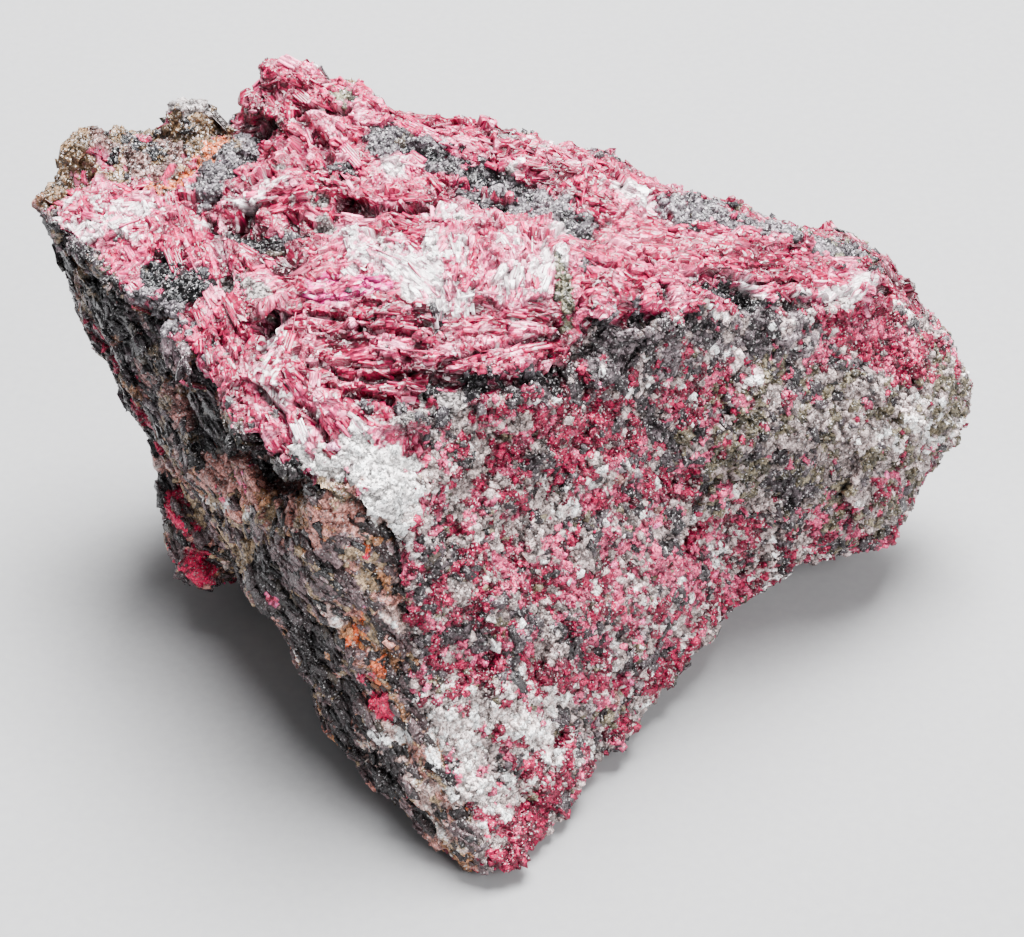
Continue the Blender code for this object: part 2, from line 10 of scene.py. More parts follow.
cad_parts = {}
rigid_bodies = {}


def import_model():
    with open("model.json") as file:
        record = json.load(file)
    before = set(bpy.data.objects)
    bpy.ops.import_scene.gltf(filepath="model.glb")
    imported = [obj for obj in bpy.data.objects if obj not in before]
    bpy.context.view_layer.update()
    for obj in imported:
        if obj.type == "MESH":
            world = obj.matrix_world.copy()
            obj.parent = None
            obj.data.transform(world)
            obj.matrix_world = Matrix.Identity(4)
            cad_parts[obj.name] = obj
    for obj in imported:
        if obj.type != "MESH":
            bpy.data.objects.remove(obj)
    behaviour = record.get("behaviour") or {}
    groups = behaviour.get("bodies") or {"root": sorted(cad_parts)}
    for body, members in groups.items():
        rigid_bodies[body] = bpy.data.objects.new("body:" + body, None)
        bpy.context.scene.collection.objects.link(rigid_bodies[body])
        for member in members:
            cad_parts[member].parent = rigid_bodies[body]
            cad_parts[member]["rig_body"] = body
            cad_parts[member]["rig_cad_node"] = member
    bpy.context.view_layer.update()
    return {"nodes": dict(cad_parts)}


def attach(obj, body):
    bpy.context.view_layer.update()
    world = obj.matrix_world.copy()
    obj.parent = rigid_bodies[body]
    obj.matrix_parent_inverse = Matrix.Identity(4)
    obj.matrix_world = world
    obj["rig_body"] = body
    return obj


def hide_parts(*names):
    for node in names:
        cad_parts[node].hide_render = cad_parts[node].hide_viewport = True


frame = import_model()

# ------------------------------------------------------------------------------------------------
# The camera. It stands before the point of the lump and looks down on the vein at 39 degrees, from
# about thirty centimetres, through a long lens, so that the far side is hardly smaller.
MM = 0.001
PICTURE = (1024, 937)
FOCAL_PIXELS = 2900.0
SENSOR = 36.0               # mm
DOWN = math.radians(39.0)
EYE = Vector((-0.35, -230.68, 209.68)) * MM
LOOK = Vector((0.0, math.cos(DOWN), -math.sin(DOWN)))
RIGHT, UP = Vector((1.0, 0.0, 0.0)), Vector((0.0, -LOOK.z, LOOK.y))

bpy.ops.object.select_all(action="DESELECT")
bpy.ops.object.camera_add(location=EYE)
camera = bpy.context.object
camera.name = "camera"
camera.rotation_mode = "QUATERNION"
camera.rotation_quaternion = LOOK.to_track_quat("-Z", "Y")
camera.data.sensor_width = SENSOR
camera.data.lens = SENSOR * FOCAL_PIXELS / PICTURE[0]
camera.data.clip_start, camera.data.clip_end = 0.01, 10.0
bpy.context.scene.camera = camera

# ------------------------------------------------------------------------------------------------
# The lump itself: quartz, schist and vein broken in one piece from the rock, with no finish. Its
# form is the solid's. Its faces are worked up from it: breaks, ledges, grains and striations, and
# what each place is made of. The vein, the front and the left face are finer than the rest.
ROCK_GRID = 0.47 * MM       # the mesh of the back, twice as fine where the camera looks
SAME_POINT = 1e-6
TURNED_AWAY = -0.02         # how far past its edge a face may look away and still be divided, in m


def only(thing):
    """An object selected and active, and nothing else."""
    bpy.ops.object.select_all(action="DESELECT")
    thing.select_set(True)
    bpy.context.view_layer.objects.active = thing


only(frame["nodes"]["specimen"])
bpy.ops.object.duplicate()
rock = bpy.context.object
rock.parent = None
rock.name = "back_and_foot"
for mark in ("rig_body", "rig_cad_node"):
    if mark in rock:
        del rock[mark]
bpy.ops.object.mode_set(mode="EDIT")
bpy.ops.mesh.select_all(action="SELECT")
bpy.ops.mesh.remove_doubles(threshold=SAME_POINT)
bpy.ops.object.mode_set(mode="OBJECT")
grid = rock.modifiers.new("Grid", "REMESH")
grid.mode = "VOXEL"
grid.voxel_size = ROCK_GRID
bpy.ops.object.modifier_apply(modifier="Grid")


def read(rows, prop, width, kind=float):
    """One property of all rows of a mesh, as an array with so many columns."""
    values = np.empty(len(rows) * width, dtype=kind)
    rows.foreach_get(prop, values)
    return values.reshape(-1, width) if width > 1 else values


def tree_of(thing):
    """A tree of an object's faces, for rays."""
    return BVHTree.FromObject(thing, bpy.context.evaluated_depsgraph_get())


def select_faces(thing, chosen):
    """Edit mode on an object, with the chosen faces selected and nothing else."""
    only(thing)
    bpy.ops.object.mode_set(mode="EDIT")
    bpy.ops.mesh.select_mode(type="FACE")
    bpy.ops.mesh.select_all(action="DESELECT")
    bpy.ops.object.mode_set(mode="OBJECT")
    thing.data.polygons.foreach_set("select", chosen)
    bpy.ops.object.mode_set(mode="EDIT")


# The faces that look at the camera are divided once more.
centres = read(rock.data.polygons, "center", 3)
facings = read(rock.data.polygons, "normal", 3)
select_faces(rock, ((np.array(EYE) - centres) * facings).sum(axis=1) > TURNED_AWAY)
bpy.ops.mesh.subdivide(number_cuts=1)
bpy.ops.object.mode_set(mode="OBJECT")
rock_tree = tree_of(rock)
places, facings = read(rock.data.vertices, "co", 3), read(rock.data.vertices, "normal", 3)


def seen(x, y):
    """The point of the rock, and its normal, that the camera sees at this place of its picture."""
    x, y = x - PICTURE[0] / 2, y - PICTURE[1] / 2
    aim = LOOK + RIGHT * x / FOCAL_PIXELS - UP * y / FOCAL_PIXELS
    point, normal, _, _ = rock_tree.ray_cast(EYE, aim.normalized())
    return point, normal


def picture_of(points):
    """Where the camera sees each point, in pixels of its picture."""
    away = points - np.array(EYE)
    scale = FOCAL_PIXELS / (away @ np.array(LOOK))
    return np.column_stack([
        PICTURE[0] / 2 + away[:, 0] * scale, PICTURE[1] / 2 - away @ np.array(UP) * scale,
    ])


def within(spots, outline):
    """Which places of the picture lie inside an outline."""
    inside = np.zeros(len(spots), dtype=bool)
    x, y = spots.T
    for (x0, y0), (x1, y1) in zip(outline, outline[1:] + outline[:1]):
        if y0 != y1:
            inside ^= ((y0 > y) != (y1 > y)) & (x < (x1 - x0) * (y - y0) / (y1 - y0) + x0)
    return inside


def distance_to_stroke(points, stroke):
    """How far each point is from a broken line."""
    least = np.full(len(points), 1e9)
    for a, b in list(zip(stroke, stroke[1:])) or [(stroke[0], stroke[0])]:
        a, b = np.array(a), np.array(b)
        along = b - a
        share = np.clip((points - a) @ along / max(along @ along, 1e-12), 0, 1)
        least = np.minimum(least, np.linalg.norm(points - a - share[:, None] * along, axis=1))
    return least


def hashed(cells, salt, count):
    """Random numbers from 0 to 1 for each cell of a lattice, the same ones for the same cell."""
    x, y, z = np.asarray(cells, dtype=np.int64).T.astype(np.uint64)
    mixed = x * np.uint64(0x8DA6B343) ^ y * np.uint64(0xD8163841) ^ z * np.uint64(0xCB1AB31F)
    mixed = mixed + np.uint64(salt * 7919 + 12345)
    rows = []
    for _ in range(count + 1):
        mixed = (mixed ^ (mixed >> np.uint64(31))) * np.uint64(0x9E3779B97F4A7C15)
        mixed = mixed ^ (mixed >> np.uint64(29))
        rows.append((mixed >> np.uint64(11)).astype(float) / 2.0 ** 53)
    return np.column_stack(rows[1:])


def smooth(points, size, seed, octaves=2):
    """A smooth random value, mostly between -1 and 1, at each point."""
    total = np.zeros(len(points))
    for octave in range(octaves):
        spots = points / size * 2.0 ** octave + 13.7 * (seed + 1)
        base = np.floor(spots)
        inner = spots - base
        inner = inner * inner * (3 - 2 * inner)
        value = np.zeros(len(points))
        for corner in np.ndindex(2, 2, 2):
            share = np.prod(np.where(corner, inner, 1 - inner), axis=1)
            value += share * hashed(base + corner, seed * 31 + octave, 1)[:, 0]
        total += (2 * value - 1) * 0.55 ** octave
    return total * 1.4


def drift(size, seeds, octaves=2):
    """Smooth random values at each place of the rock, one column for each seed."""
    return np.column_stack([smooth(places, size, seed, octaves) for seed in seeds])


def cells_of(points, seed):
    """The cell of each point among scattered hearts: its number, the way from its heart, the room
    to its border."""
    base = np.floor(points)
    near, beyond = np.full(len(points), 9.0), np.full(len(points), 9.0)
    number, way = base.copy(), points - base
    for step in np.ndindex(3, 3, 3):
        cell = base + (np.array(step) - 1)
        away = points - cell - hashed(cell, seed, 3)
        reach = (away ** 2).sum(axis=1)
        closer = reach < near
        beyond = np.where(closer, near, np.minimum(beyond, reach))
        near = np.where(closer, reach, near)
        number[closer], way[closer] = cell[closer], away[closer]
    return number, way, np.sqrt(beyond) - np.sqrt(near)


def edge(room, width):
    """1 at the border of a cell, and 0 from this width inwards."""
    return np.clip(1 - room / width, 0, 1)


# Which face of the lump each point is on: outlines as the camera sees them, with ragged borders,
# and how squarely a face has to look at the camera to be on them.
VEIN_LEFT = [
    (30, 180), (48, 205), (60, 222), (110, 275), (150, 310), (200, 365), (235, 425), (262, 455),
    (300, 472), (340, 478), (385, 505), (402, 530),
]
VEIN = VEIN_LEFT + [
    (418, 480), (432, 445), (470, 400), (555, 374), (600, 334), (690, 310), (760, 304), (830, 300),
    (870, 310), (930, 310), (990, 300), (990, 0), (0, 0), (0, 180),
]
LEFT_SIDE = VEIN_LEFT + [
    (405, 590), (418, 700), (458, 790), (490, 887), (480, 937), (0, 937), (0, 180),
]
RAGGED = 7.0                # pixels
VEIN_LEAST, LEFT_LEAST = -0.12, -0.25
LEFTWARDS, BACKWARDS = 0.45, 0.05       # how far faces out of the camera's sight look that way
towards = np.array(EYE) - places
towards = (towards / np.linalg.norm(towards, axis=1)[:, None] * facings).sum(axis=1)
spots = picture_of(places) + RAGGED * drift(1.8 * MM, (1, 2))
on_vein = within(spots, VEIN) & (towards > VEIN_LEAST)
on_left = within(spots, LEFT_SIDE) & (towards > LEFT_LEAST) & ~on_vein
leftwards = (facings[:, 0] < -LEFTWARDS) & (facings[:, 1] < LEFTWARDS)
on_left |= (towards <= LEFT_LEAST) & leftwards
on_back = (towards <= VEIN_LEAST) & (facings[:, 1] > BACKWARDS) & ~on_left
on_front = ~(on_vein | on_left | on_back)

# What the rock is made of, as shares of each mineral: a mix for each face, and over it patches,
# which are strokes as the camera sees them: name, mineral, how much of it there is in the patch,
# half width in mm, and the line. A later patch lies over an earlier one.
COLOURS = {
    "crimson": (0.2, 0.004, 0.036),
    "pink": (0.48, 0.065, 0.155),
    "white": (0.82, 0.7, 0.71),
    "slate": (0.048, 0.041, 0.047),
    "ochre": (0.12, 0.072, 0.038),
    "rust": (0.4, 0.088, 0.028),
    "moss": (0.12, 0.11, 0.072),
    "quartz": (0.3, 0.262, 0.258),
    "milk": (0.88, 0.83, 0.82),
    "black": (0.014, 0.014, 0.016),
    "clay": (0.175, 0.098, 0.088),
    "steel": (0.145, 0.125, 0.14),
}
MINERALS = tuple(COLOURS)
MIXES = (       # in the order of the minerals
    (on_vein, (0.27, 0.40, 0.30, 0.010, 0.0, 0.0, 0.002, 0.012, 0.0, 0.0, 0.0, 0.0)),
    (on_front, (0.26, 0.17, 0.06, 0.13, 0.0, 0.0, 0.05, 0.22, 0.07, 0.02, 0.01, 0.03)),
    (on_left, (0.01, 0.012, 0.005, 0.26, 0.10, 0.01, 0.14, 0.06, 0.0, 0.26, 0.15, 0.03)),
    (on_back, (0.07, 0.06, 0.03, 0.26, 0.05, 0.01, 0.17, 0.20, 0.05, 0.04, 0.02, 0.04)),
)
LENS = ((358, 456), (385, 470), (398, 505))
SLATE_PATCH = ((206, 190), (225, 168), (244, 145))
SLATE_BAND = ((385, 138), (408, 146), (430, 158), (470, 180), (520, 196), (560, 208), (575, 222))
UNDER_BAND = ((600, 352), (700, 335), (800, 330))
GREEN_DARK = ((215, 530), (270, 545), (350, 600))
PATCHES = (
    ("slate patch", "slate", 0.95, 2.3, SLATE_PATCH),
    ("slate patch, pale", "steel", 0.7, 2.0, SLATE_PATCH),
    ("slate band", "slate", 0.98, 1.8, SLATE_BAND),
    ("slate band, foot", "slate", 0.95, 1.3, ((465, 196), (480, 206), (505, 210))),
    ("slate band, pale", "steel", 0.55, 1.8, SLATE_BAND),
    ("slate band, black", "black", 0.8, 0.5,
     ((400, 150), (425, 150), (450, 165), (490, 185), (512, 190))),
    ("slate by the recess", "slate", 0.55, 1.4, ((334, 166), (354, 180))),
    ("grey by the peak", "moss", 0.7, 1.1, ((332, 90), (350, 106))),
    ("left slate", "black", 0.92, 2.0, ((160, 270), (192, 286))),
    ("grey patch", "quartz", 0.85, 1.5, ((236, 278), (258, 288))),
    ("grey drops", "quartz", 0.7, 0.9, ((318, 206), (330, 232))),
    ("recess", "slate", 0.45, 1.1, ((236, 228), (262, 238), (298, 238))),
    ("back band", "steel", 0.9, 2.6, ((690, 205), (790, 232), (865, 258))),
    ("back band, moss", "moss", 0.35, 2.6, ((790, 232), (865, 258))),
    ("back band, dark", "slate", 0.25, 2.6, ((700, 208), (790, 232), (865, 258))),
    ("grey strip", "moss", 0.8, 0.7, ((560, 262), (566, 300), (572, 335))),
    ("grey seam", "steel", 0.85, 0.8, ((576, 232), (590, 262))),
    ("grey in the slope", "steel", 0.55, 0.7, ((436, 300), (440, 318))),
    ("black by the right band", "black", 0.9, 1.3, ((712, 284), (735, 292), (748, 302))),
    ("ochre corner", "ochre", 0.99, 4.6, ((72, 168), (130, 150), (185, 142), (212, 116))),
    ("ochre corner, dark", "black", 0.22, 4.0, ((75, 165), (130, 150), (190, 130))),
    ("ochre corner, pale", "clay", 0.4, 3.0, ((110, 170), (160, 160))),
    ("rust seam", "rust", 0.999, 1.1,
     ((152, 190), (164, 185), (175, 181), (187, 175), (197, 167), (207, 159), (215, 150),
      (221, 138), (226, 126))),
    ("ochre edge", "ochre", 0.97, 2.2, ((52, 196), (80, 170))),
    ("rust tip", "rust", 0.999, 1.2, ((80, 158), (86, 150), (94, 142))),
    ("grey bump", "quartz", 0.8, 2.0, ((190, 126), (218, 126))),
    ("lens", "milk", 0.97, 2.5, LENS),
    ("lens, left", "milk", 0.75, 1.0, ((296, 456), (335, 468))),
    ("lens, lower", "milk", 0.75, 0.9, ((405, 520), (414, 550))),
    ("blue under the band", "steel", 0.7, 3.4, UNDER_BAND),
    ("flecks under the band", "white", 0.14, 3.2, UNDER_BAND),
    ("dark under the band", "slate", 0.26, 3.4, UNDER_BAND),
    ("dark in the middle", "slate", 0.3, 2.6, ((600, 400), (660, 430), (700, 470))),
    ("dark at the left edge", "slate", 0.3, 2.4, ((425, 560), (445, 620), (500, 660))),
    ("dark under the brow", "slate", 0.5, 2.4, ((430, 412), (520, 395), (600, 380))),
    ("grey in the brow", "quartz", 0.45, 1.6, ((400, 425), (450, 405))),
    ("right lobe", "quartz", 0.72, 7.5, ((780, 460), (860, 440), (930, 430))),
    ("right lobe, grey green", "moss", 0.42, 8.0, ((760, 440), (860, 470), (930, 440))),
    ("right lobe, dark", "slate", 0.16, 6.0, ((740, 440), (820, 480))),
    ("right lobe, top", "slate", 0.3, 2.5, ((800, 380), (860, 385))),
    ("right lobe, pale", "milk", 0.3, 4.0, ((900, 420), (955, 410))),
    ("green seam", "moss", 0.85, 0.7, ((936, 345), (938, 375), (930, 412))),
    ("shoulder", "crimson", 0.85, 3.0, ((845, 322), (885, 340), (915, 362))),
    ("shoulder, pink", "pink", 0.4, 2.2, ((860, 335), (905, 345))),
    ("white fleck", "white", 0.8, 0.9, ((716, 352), (738, 362))),
    ("white fleck, left", "white", 0.75, 0.9, ((574, 346), (598, 338))),
    ("white fleck, top", "white", 0.75, 0.6, ((712, 308), (734, 312))),
    ("pale streak", "white", 0.7, 0.5, ((808, 308), (816, 334))),
    ("middle crimson", "crimson", 0.28, 3.0, ((560, 425), (640, 420), (690, 400))),
    ("middle crimson, low", "crimson", 0.25, 3.0, ((600, 450), (690, 480))),
    ("crimson spot, right", "crimson", 0.6, 1.3, ((735, 515), (755, 525))),
    ("pink band", "pink", 0.35, 1.8, ((610, 540), (680, 565), (745, 590))),
    ("grey middle", "quartz", 0.3, 3.4, ((470, 480), (540, 520))),
    ("crimson edge", "crimson", 0.6, 1.5, ((640, 690), (690, 650), (740, 600))),
    ("white foot", "milk", 0.52, 4.0, ((475, 725), (505, 780), (545, 715))),
    ("dark foot line", "crimson", 0.45, 1.0, ((470, 690), (520, 690), (600, 680))),
    ("crimson tip", "crimson", 0.8, 2.4, ((500, 860), (530, 835), (552, 800))),
    ("grey tip", "milk", 0.75, 1.2, ((478, 872), (492, 884))),
    ("left, glossy black", "black", 0.85, 3.0, ((95, 285), (130, 330))),
    ("left, grey", "steel", 0.6, 2.4, ((140, 300), (185, 355))),
    ("left, black lower", "black", 0.85, 2.6, ((115, 370), (150, 430))),
    ("left, fibrous", "moss", 0.5, 2.4, ((170, 405), (225, 470))),
    ("left, fibrous pink", "clay", 0.5, 1.8, ((172, 410), (205, 450))),
    ("left, black middle", "black", 0.9, 2.2, ((205, 428), (280, 470))),
    ("brown patch", "clay", 0.8, 3.0, ((212, 485), (262, 485), (325, 512))),
    ("brown patch, green", "ochre", 0.3, 2.6, ((250, 500), (310, 520))),
    ("brown patch, pink", "pink", 0.16, 2.0, ((215, 485), (255, 480))),
    ("pale streak, left", "white", 0.7, 0.7, ((206, 500), (228, 504), (248, 512))),
    ("green dark", "moss", 0.5, 3.6, GREEN_DARK),
    ("green dark, slate", "slate", 0.4, 3.6, GREEN_DARK),
    ("left, black low", "black", 0.9, 2.6, ((262, 575), (310, 640))),
    ("grey white band", "quartz", 0.7, 1.0, ((308, 582), (330, 612), (348, 645))),
    ("orange stain", "rust", 0.6, 1.3, ((358, 628), (372, 665))),
    ("red seam, left", "crimson", 0.85, 1.2, ((94, 325), (108, 365), (135, 395), (156, 440))),
    ("red seam, lobe", "crimson", 0.8, 1.8, ((178, 505), (186, 550), (205, 572))),
    ("crimson spot", "crimson", 0.92, 1.3, ((366, 680), (386, 712))),
    ("black knobs", "black", 0.9, 1.6, ((320, 672), (345, 695), (340, 740), (385, 775))),
    ("beige spot", "milk", 0.6, 1.4, ((374, 728), (402, 738))),
    ("grey below it", "quartz", 0.6, 1.3, ((365, 750), (400, 765))),
    ("dark bottom", "black", 0.5, 2.6, ((392, 768), (430, 822), (456, 862))),
    ("grey bottom", "quartz", 0.4, 2.0, ((415, 780), (450, 840), (470, 875))),
    ("pale fringe", "milk", 0.55, 0.6,
     ((248, 572), (275, 610), (290, 640), (318, 700), (345, 760))),
    ("pink fringe", "pink", 0.45, 0.6, ((248, 565), (272, 600))),
)


def over(half_width, stroke):
    """How far the points are from a stroke, in its half widths; far where it misses the rock."""
    spots = [tuple(point) for point, _ in (seen(*spot) for spot in stroke) if point]
    if not spots:
        return np.full(len(places), 9.0)
    return distance_to_stroke(places, spots) / (half_width * MM)


PATCH_CORE, PATCH_FADE, PATCH_WOBBLE = 1.7, 1.3, 0.40       # full in the middle, ragged outside
makeup = np.zeros((len(places), len(MINERALS)))
for face, mix in MIXES:
    makeup[face] = mix
wobble = smooth(places, 1.6 * MM, 3)
for _, mineral, strength, half_width, stroke in PATCHES:
    away = over(half_width, stroke) + PATCH_WOBBLE * wobble
    cover = strength * np.clip(PATCH_CORE - PATCH_FADE * away, 0, 1)
    pure = np.zeros(len(MINERALS))
    pure[MINERALS.index(mineral)] = 1.0
    makeup += (pure - makeup) * cover[:, None]

# The sheaves of the vein, which its face and its loose crystals both follow: name, the line as the
# camera sees it, width, length and width of a blade, how high they pile, all in mm, the palette,
# and how much the blades' directions differ.
TONES = {
    "white": (0.95, 0.85, 0.875),
    "blush": (0.7, 0.185, 0.305),
    "pink": (0.54, 0.048, 0.15),
    "rose": (0.38, 0.013, 0.074),
    "magenta": (0.52, 0.012, 0.18),
    "crimson": (0.21, 0.003, 0.034),
    "wine": (0.075, 0.002, 0.013),
    "slate": (0.024, 0.023, 0.027),
}
PALETTES = {    # from the lightest to the darkest
    # The bright palette is white roselite, and on the plateau also a painted reflection of the lamp
    # above.
    "bright": ("white", "white", "white", "white", "white", "blush", "white", "pink"),
    "pale": ("white", "white", "blush", "pink", "blush", "rose"),
    "light": ("white", "white", "blush", "white", "white", "pink", "rose"),
    "pink": ("blush", "pink", "pink", "pink", "rose", "rose"),
    "rose": ("blush", "pink", "rose", "rose", "rose", "crimson", "crimson"),
    "crimson": ("pink", "rose", "crimson", "crimson", "crimson", "wine"),
    "magenta": ("pink", "magenta", "magenta", "magenta", "rose"),
    "striped": ("white", "wine", "white", "rose", "white", "crimson", "blush", "wine"),
    "mixed": ("white", "blush", "pink", "rose", "rose", "crimson", "wine"),
}
BEYOND = {      # what a palette turns to outside the sheaf's width
    "bright": "mixed", "light": "rose", "pale": "rose", "striped": "rose",
}
SHEAVES = (
    ("long left bundle", ((183, 205), (215, 290), (240, 350), (256, 408)), 3.6, (3.5, 9),
     (0.4, 0.9), 0.4, "rose", 0.05),
    ("outer left bundle", ((165, 225), (215, 330)), 3.0, (3, 7), (0.4, 0.9), 0.4, "rose", 0.15),
    ("recess, left", ((232, 222), (290, 262)), 4.0, (1.5, 4), (0.4, 0.9), 0.4, "crimson", 0.3),
    ("back of the plateau", ((337, 218), (428, 226)), 3.0, (3, 7), (0.3, 0.7), 0.4, "rose", 0.12),
    ("beside the slate", ((290, 130), (370, 190)), 4.2, (1.5, 4), (0.4, 0.9), 0.5, "rose", 0.35),
    ("above the white block", ((405, 165), (450, 190)), 2.4, (1, 3), (0.4, 0.9), 0.5, "mixed",
     0.35),
    ("recess, top", ((300, 170), (400, 205)), 3.0, (2, 5), (0.4, 0.8), 0.5, "rose", 0.25),
    ("white spot", ((266, 184), (286, 180)), 1.2, (1, 3), (0.4, 0.9), 0.4, "bright", 0.4),
    ("lip over the recess", ((334, 200), (432, 196)), 1.6, (3, 7), (0.4, 0.9), 0.8, "crimson",
     0.1),
    ("rod, far end", ((262, 202), (330, 196)), 1.2, (3, 7), (0.3, 0.6), 0.6, "rose", 0.06),
    ("pale rod", ((218, 208), (268, 200)), 1.0, (3, 6), (0.4, 0.8), 0.8, "bright", 0.05),
    ("plateau, left curve", ((262, 278), (295, 262), (330, 246), (368, 238)), 3.0, (3, 8),
     (0.3, 0.7), 0.5, "pink", 0.08),
    ("right of the plateau", ((508, 216), (500, 298)), 8.0, (2, 5), (0.3, 0.8), 0.5, "pale", 0.3),
    # The plateau's whites are partly a painted reflection of the lamp above.
    ("bright fan", ((358, 238), (400, 262), (438, 292)), 3.8, (3, 8), (0.3, 0.8), 0.5, "bright",
     0.14),
    ("white block", ((450, 212), (452, 250), (454, 300)), 3.4, (3, 8), (0.4, 0.9), 0.7, "bright",
     0.12),
    ("last blade of the plateau", ((570, 222), (540, 275)), 1.8, (3, 6), (0.4, 0.9), 0.8, "bright",
     0.1),
    ("slope, middle", ((330, 345), (450, 352)), 3.2, (3, 7), (0.3, 0.7), 0.4, "mixed", 0.15),
    ("slope, top", ((300, 318), (440, 322)), 3.6, (2, 5), (0.5, 1.2), 0.5, "crimson", 0.12),
    ("slope, right", ((450, 306), (505, 308), (552, 326)), 4.6, (3, 7), (0.3, 0.8), 0.5, "crimson",
     0.15),
    ("magenta cleavage", ((318, 290), (372, 282)), 2.0, (3, 6), (0.6, 1.2), 0.4, "magenta", 0.05),
    ("slanting bundle", ((246, 322), (300, 288)), 1.6, (3, 7), (0.4, 0.8), 0.8, "rose", 0.06),
    ("striped blades", ((286, 312), (262, 392)), 3.0, (3, 8), (0.4, 0.8), 0.8, "striped", 0.06),
    ("long striations", ((305, 366), (380, 368), (462, 380)), 3.0, (4, 11), (0.3, 0.8), 0.5,
     "crimson", 0.06),
    ("brow", ((440, 362), (505, 360), (566, 350)), 2.4, (2, 5), (0.4, 1.0), 0.8, "rose", 0.15),
    ("corner, left", ((232, 368), (262, 425)), 3.6, (1, 3), (0.3, 0.7), 0.4, "rose", 0.4),
    ("corner, middle", ((290, 378), (320, 430)), 4.6, (1.5, 3.5), (0.3, 0.7), 0.5, "mixed", 0.3),
    ("corner, dark blocks", ((300, 412), (335, 462)), 3.6, (1.5, 4), (0.5, 1.1), 0.5, "crimson",
     0.2),
    ("corner, tail", ((345, 400), (372, 440)), 3.4, (1, 3), (0.3, 0.7), 0.4, "mixed", 0.35),
    ("under the peak", ((285, 95), (345, 150)), 4.6, (1.5, 4.5), (0.4, 0.9), 0.6, "rose", 0.35),
    ("peak, left", ((247, 100), (262, 84), (284, 72)), 2.4, (1.5, 4), (0.4, 1.0), 0.6, "crimson",
     0.3),
    ("peak, top", ((285, 62), (340, 88)), 2.6, (1.5, 4), (0.4, 1.0), 0.6, "rose", 0.3),
    ("peak band", ((335, 95), (420, 130)), 2.6, (1.5, 4.5), (0.4, 0.9), 0.6, "pink", 0.28),
    ("upper band, left", ((400, 112), (500, 148)), 2.8, (1.5, 4.5), (0.3, 0.8), 0.6, "rose", 0.3),
    ("upper band, low", ((430, 140), (560, 190)), 1.6, (2, 5), (0.3, 0.7), 0.5, "rose", 0.2),
    ("upper band, middle", ((500, 145), (580, 168)), 2.0, (1.5, 4), (0.3, 0.8), 0.6, "mixed", 0.3),
    ("red under the band", ((520, 178), (600, 205)), 2.0, (2, 5), (0.3, 0.7), 0.5, "crimson", 0.2),
    ("standing blades", ((578, 152), (574, 218)), 3.2, (3, 6), (0.3, 0.8), 0.8, "rose", 0.08),
    ("behind the standing blades", ((600, 176), (655, 203)), 1.7, (1.5, 5), (0.3, 0.7), 0.5,
     "bright", 0.25),
    ("under the long band", ((570, 250), (690, 290)), 4.0, (1.5, 4), (0.3, 0.8), 0.5, "pink",
     0.35),
    ("long band", ((585, 232), (680, 240), (745, 262)), 3.0, (2, 6), (0.3, 0.8), 0.6, "rose",
     0.22),
    ("long band, right", ((735, 262), (880, 272)), 2.2, (2, 6), (0.3, 0.7), 0.6, "rose", 0.18),
    ("long band, edge", ((690, 232), (850, 262)), 1.2, (2, 6), (0.3, 0.6), 0.5, "pink", 0.15),
    ("middle of the right band", ((610, 285), (700, 300)), 2.6, (1.5, 4), (0.4, 0.9), 0.6, "rose",
     0.35),
    ("right band, low", ((690, 285), (790, 292)), 2.6, (1.5, 4), (0.3, 0.8), 0.5, "mixed", 0.35),
    ("pale edge", ((800, 297), (872, 276)), 0.6, (2, 5), (0.4, 0.9), 0.6, "bright", 0.15),
    ("shoulder", ((885, 268), (925, 330)), 4.0, (1.5, 4), (0.4, 1.0), 0.6, "crimson", 0.3),
    ("pale patch", ((85, 214), (160, 224)), 4.6, (0.8, 2), (0.4, 1.1), 0.3, "light", 0.8),
    ("left edge", ((110, 240), (190, 330)), 2.6, (1, 3), (0.4, 0.9), 0.4, "pink", 0.4),
    ("left edge, low", ((190, 330), (245, 405)), 2.4, (1, 3), (0.3, 0.8), 0.4, "pink", 0.35),
)


def line_of(spots):
    """The points of the rock under a line of the picture, and the way that the rock faces there."""
    found = [pair for pair in (seen(*spot) for spot in spots) if pair[0] is not None]
    up = Vector((0, 0, 0.5))
    for _, normal in found:
        up += normal / len(found)
    return [point for point, _ in found], up.normalized()


def along_line(points, line, up):
    """For each point, how far along a line it is, how far aside and above it, and how far away, in
    mm."""
    near, begun = np.full(len(points), 1e9), 0.0
    across = np.zeros((len(points), 3))
    for a, b in zip(line, line[1:]):
        span = (b - a).length
        way = (b - a) / span
        side = up.cross(way).normalized()
        away = points - np.array(a)
        reach = away @ np.array(way)
        off = away - np.clip(reach, 0, span)[:, None] * np.array(way)
        off = np.linalg.norm(off, axis=1)
        closer = off < near
        near[closer] = off[closer]
        there = np.column_stack([begun + reach, away @ np.array(side), away @ np.array(up)])
        across[closer] = there[closer]
        begun += span
    return across / MM, near / MM


def ramp(table, value):
    """The colours of a row of colours, from the first at 0 to the last at 1, without blending."""
    return table[np.clip((value * len(table)).astype(int), 0, len(table) - 1)]


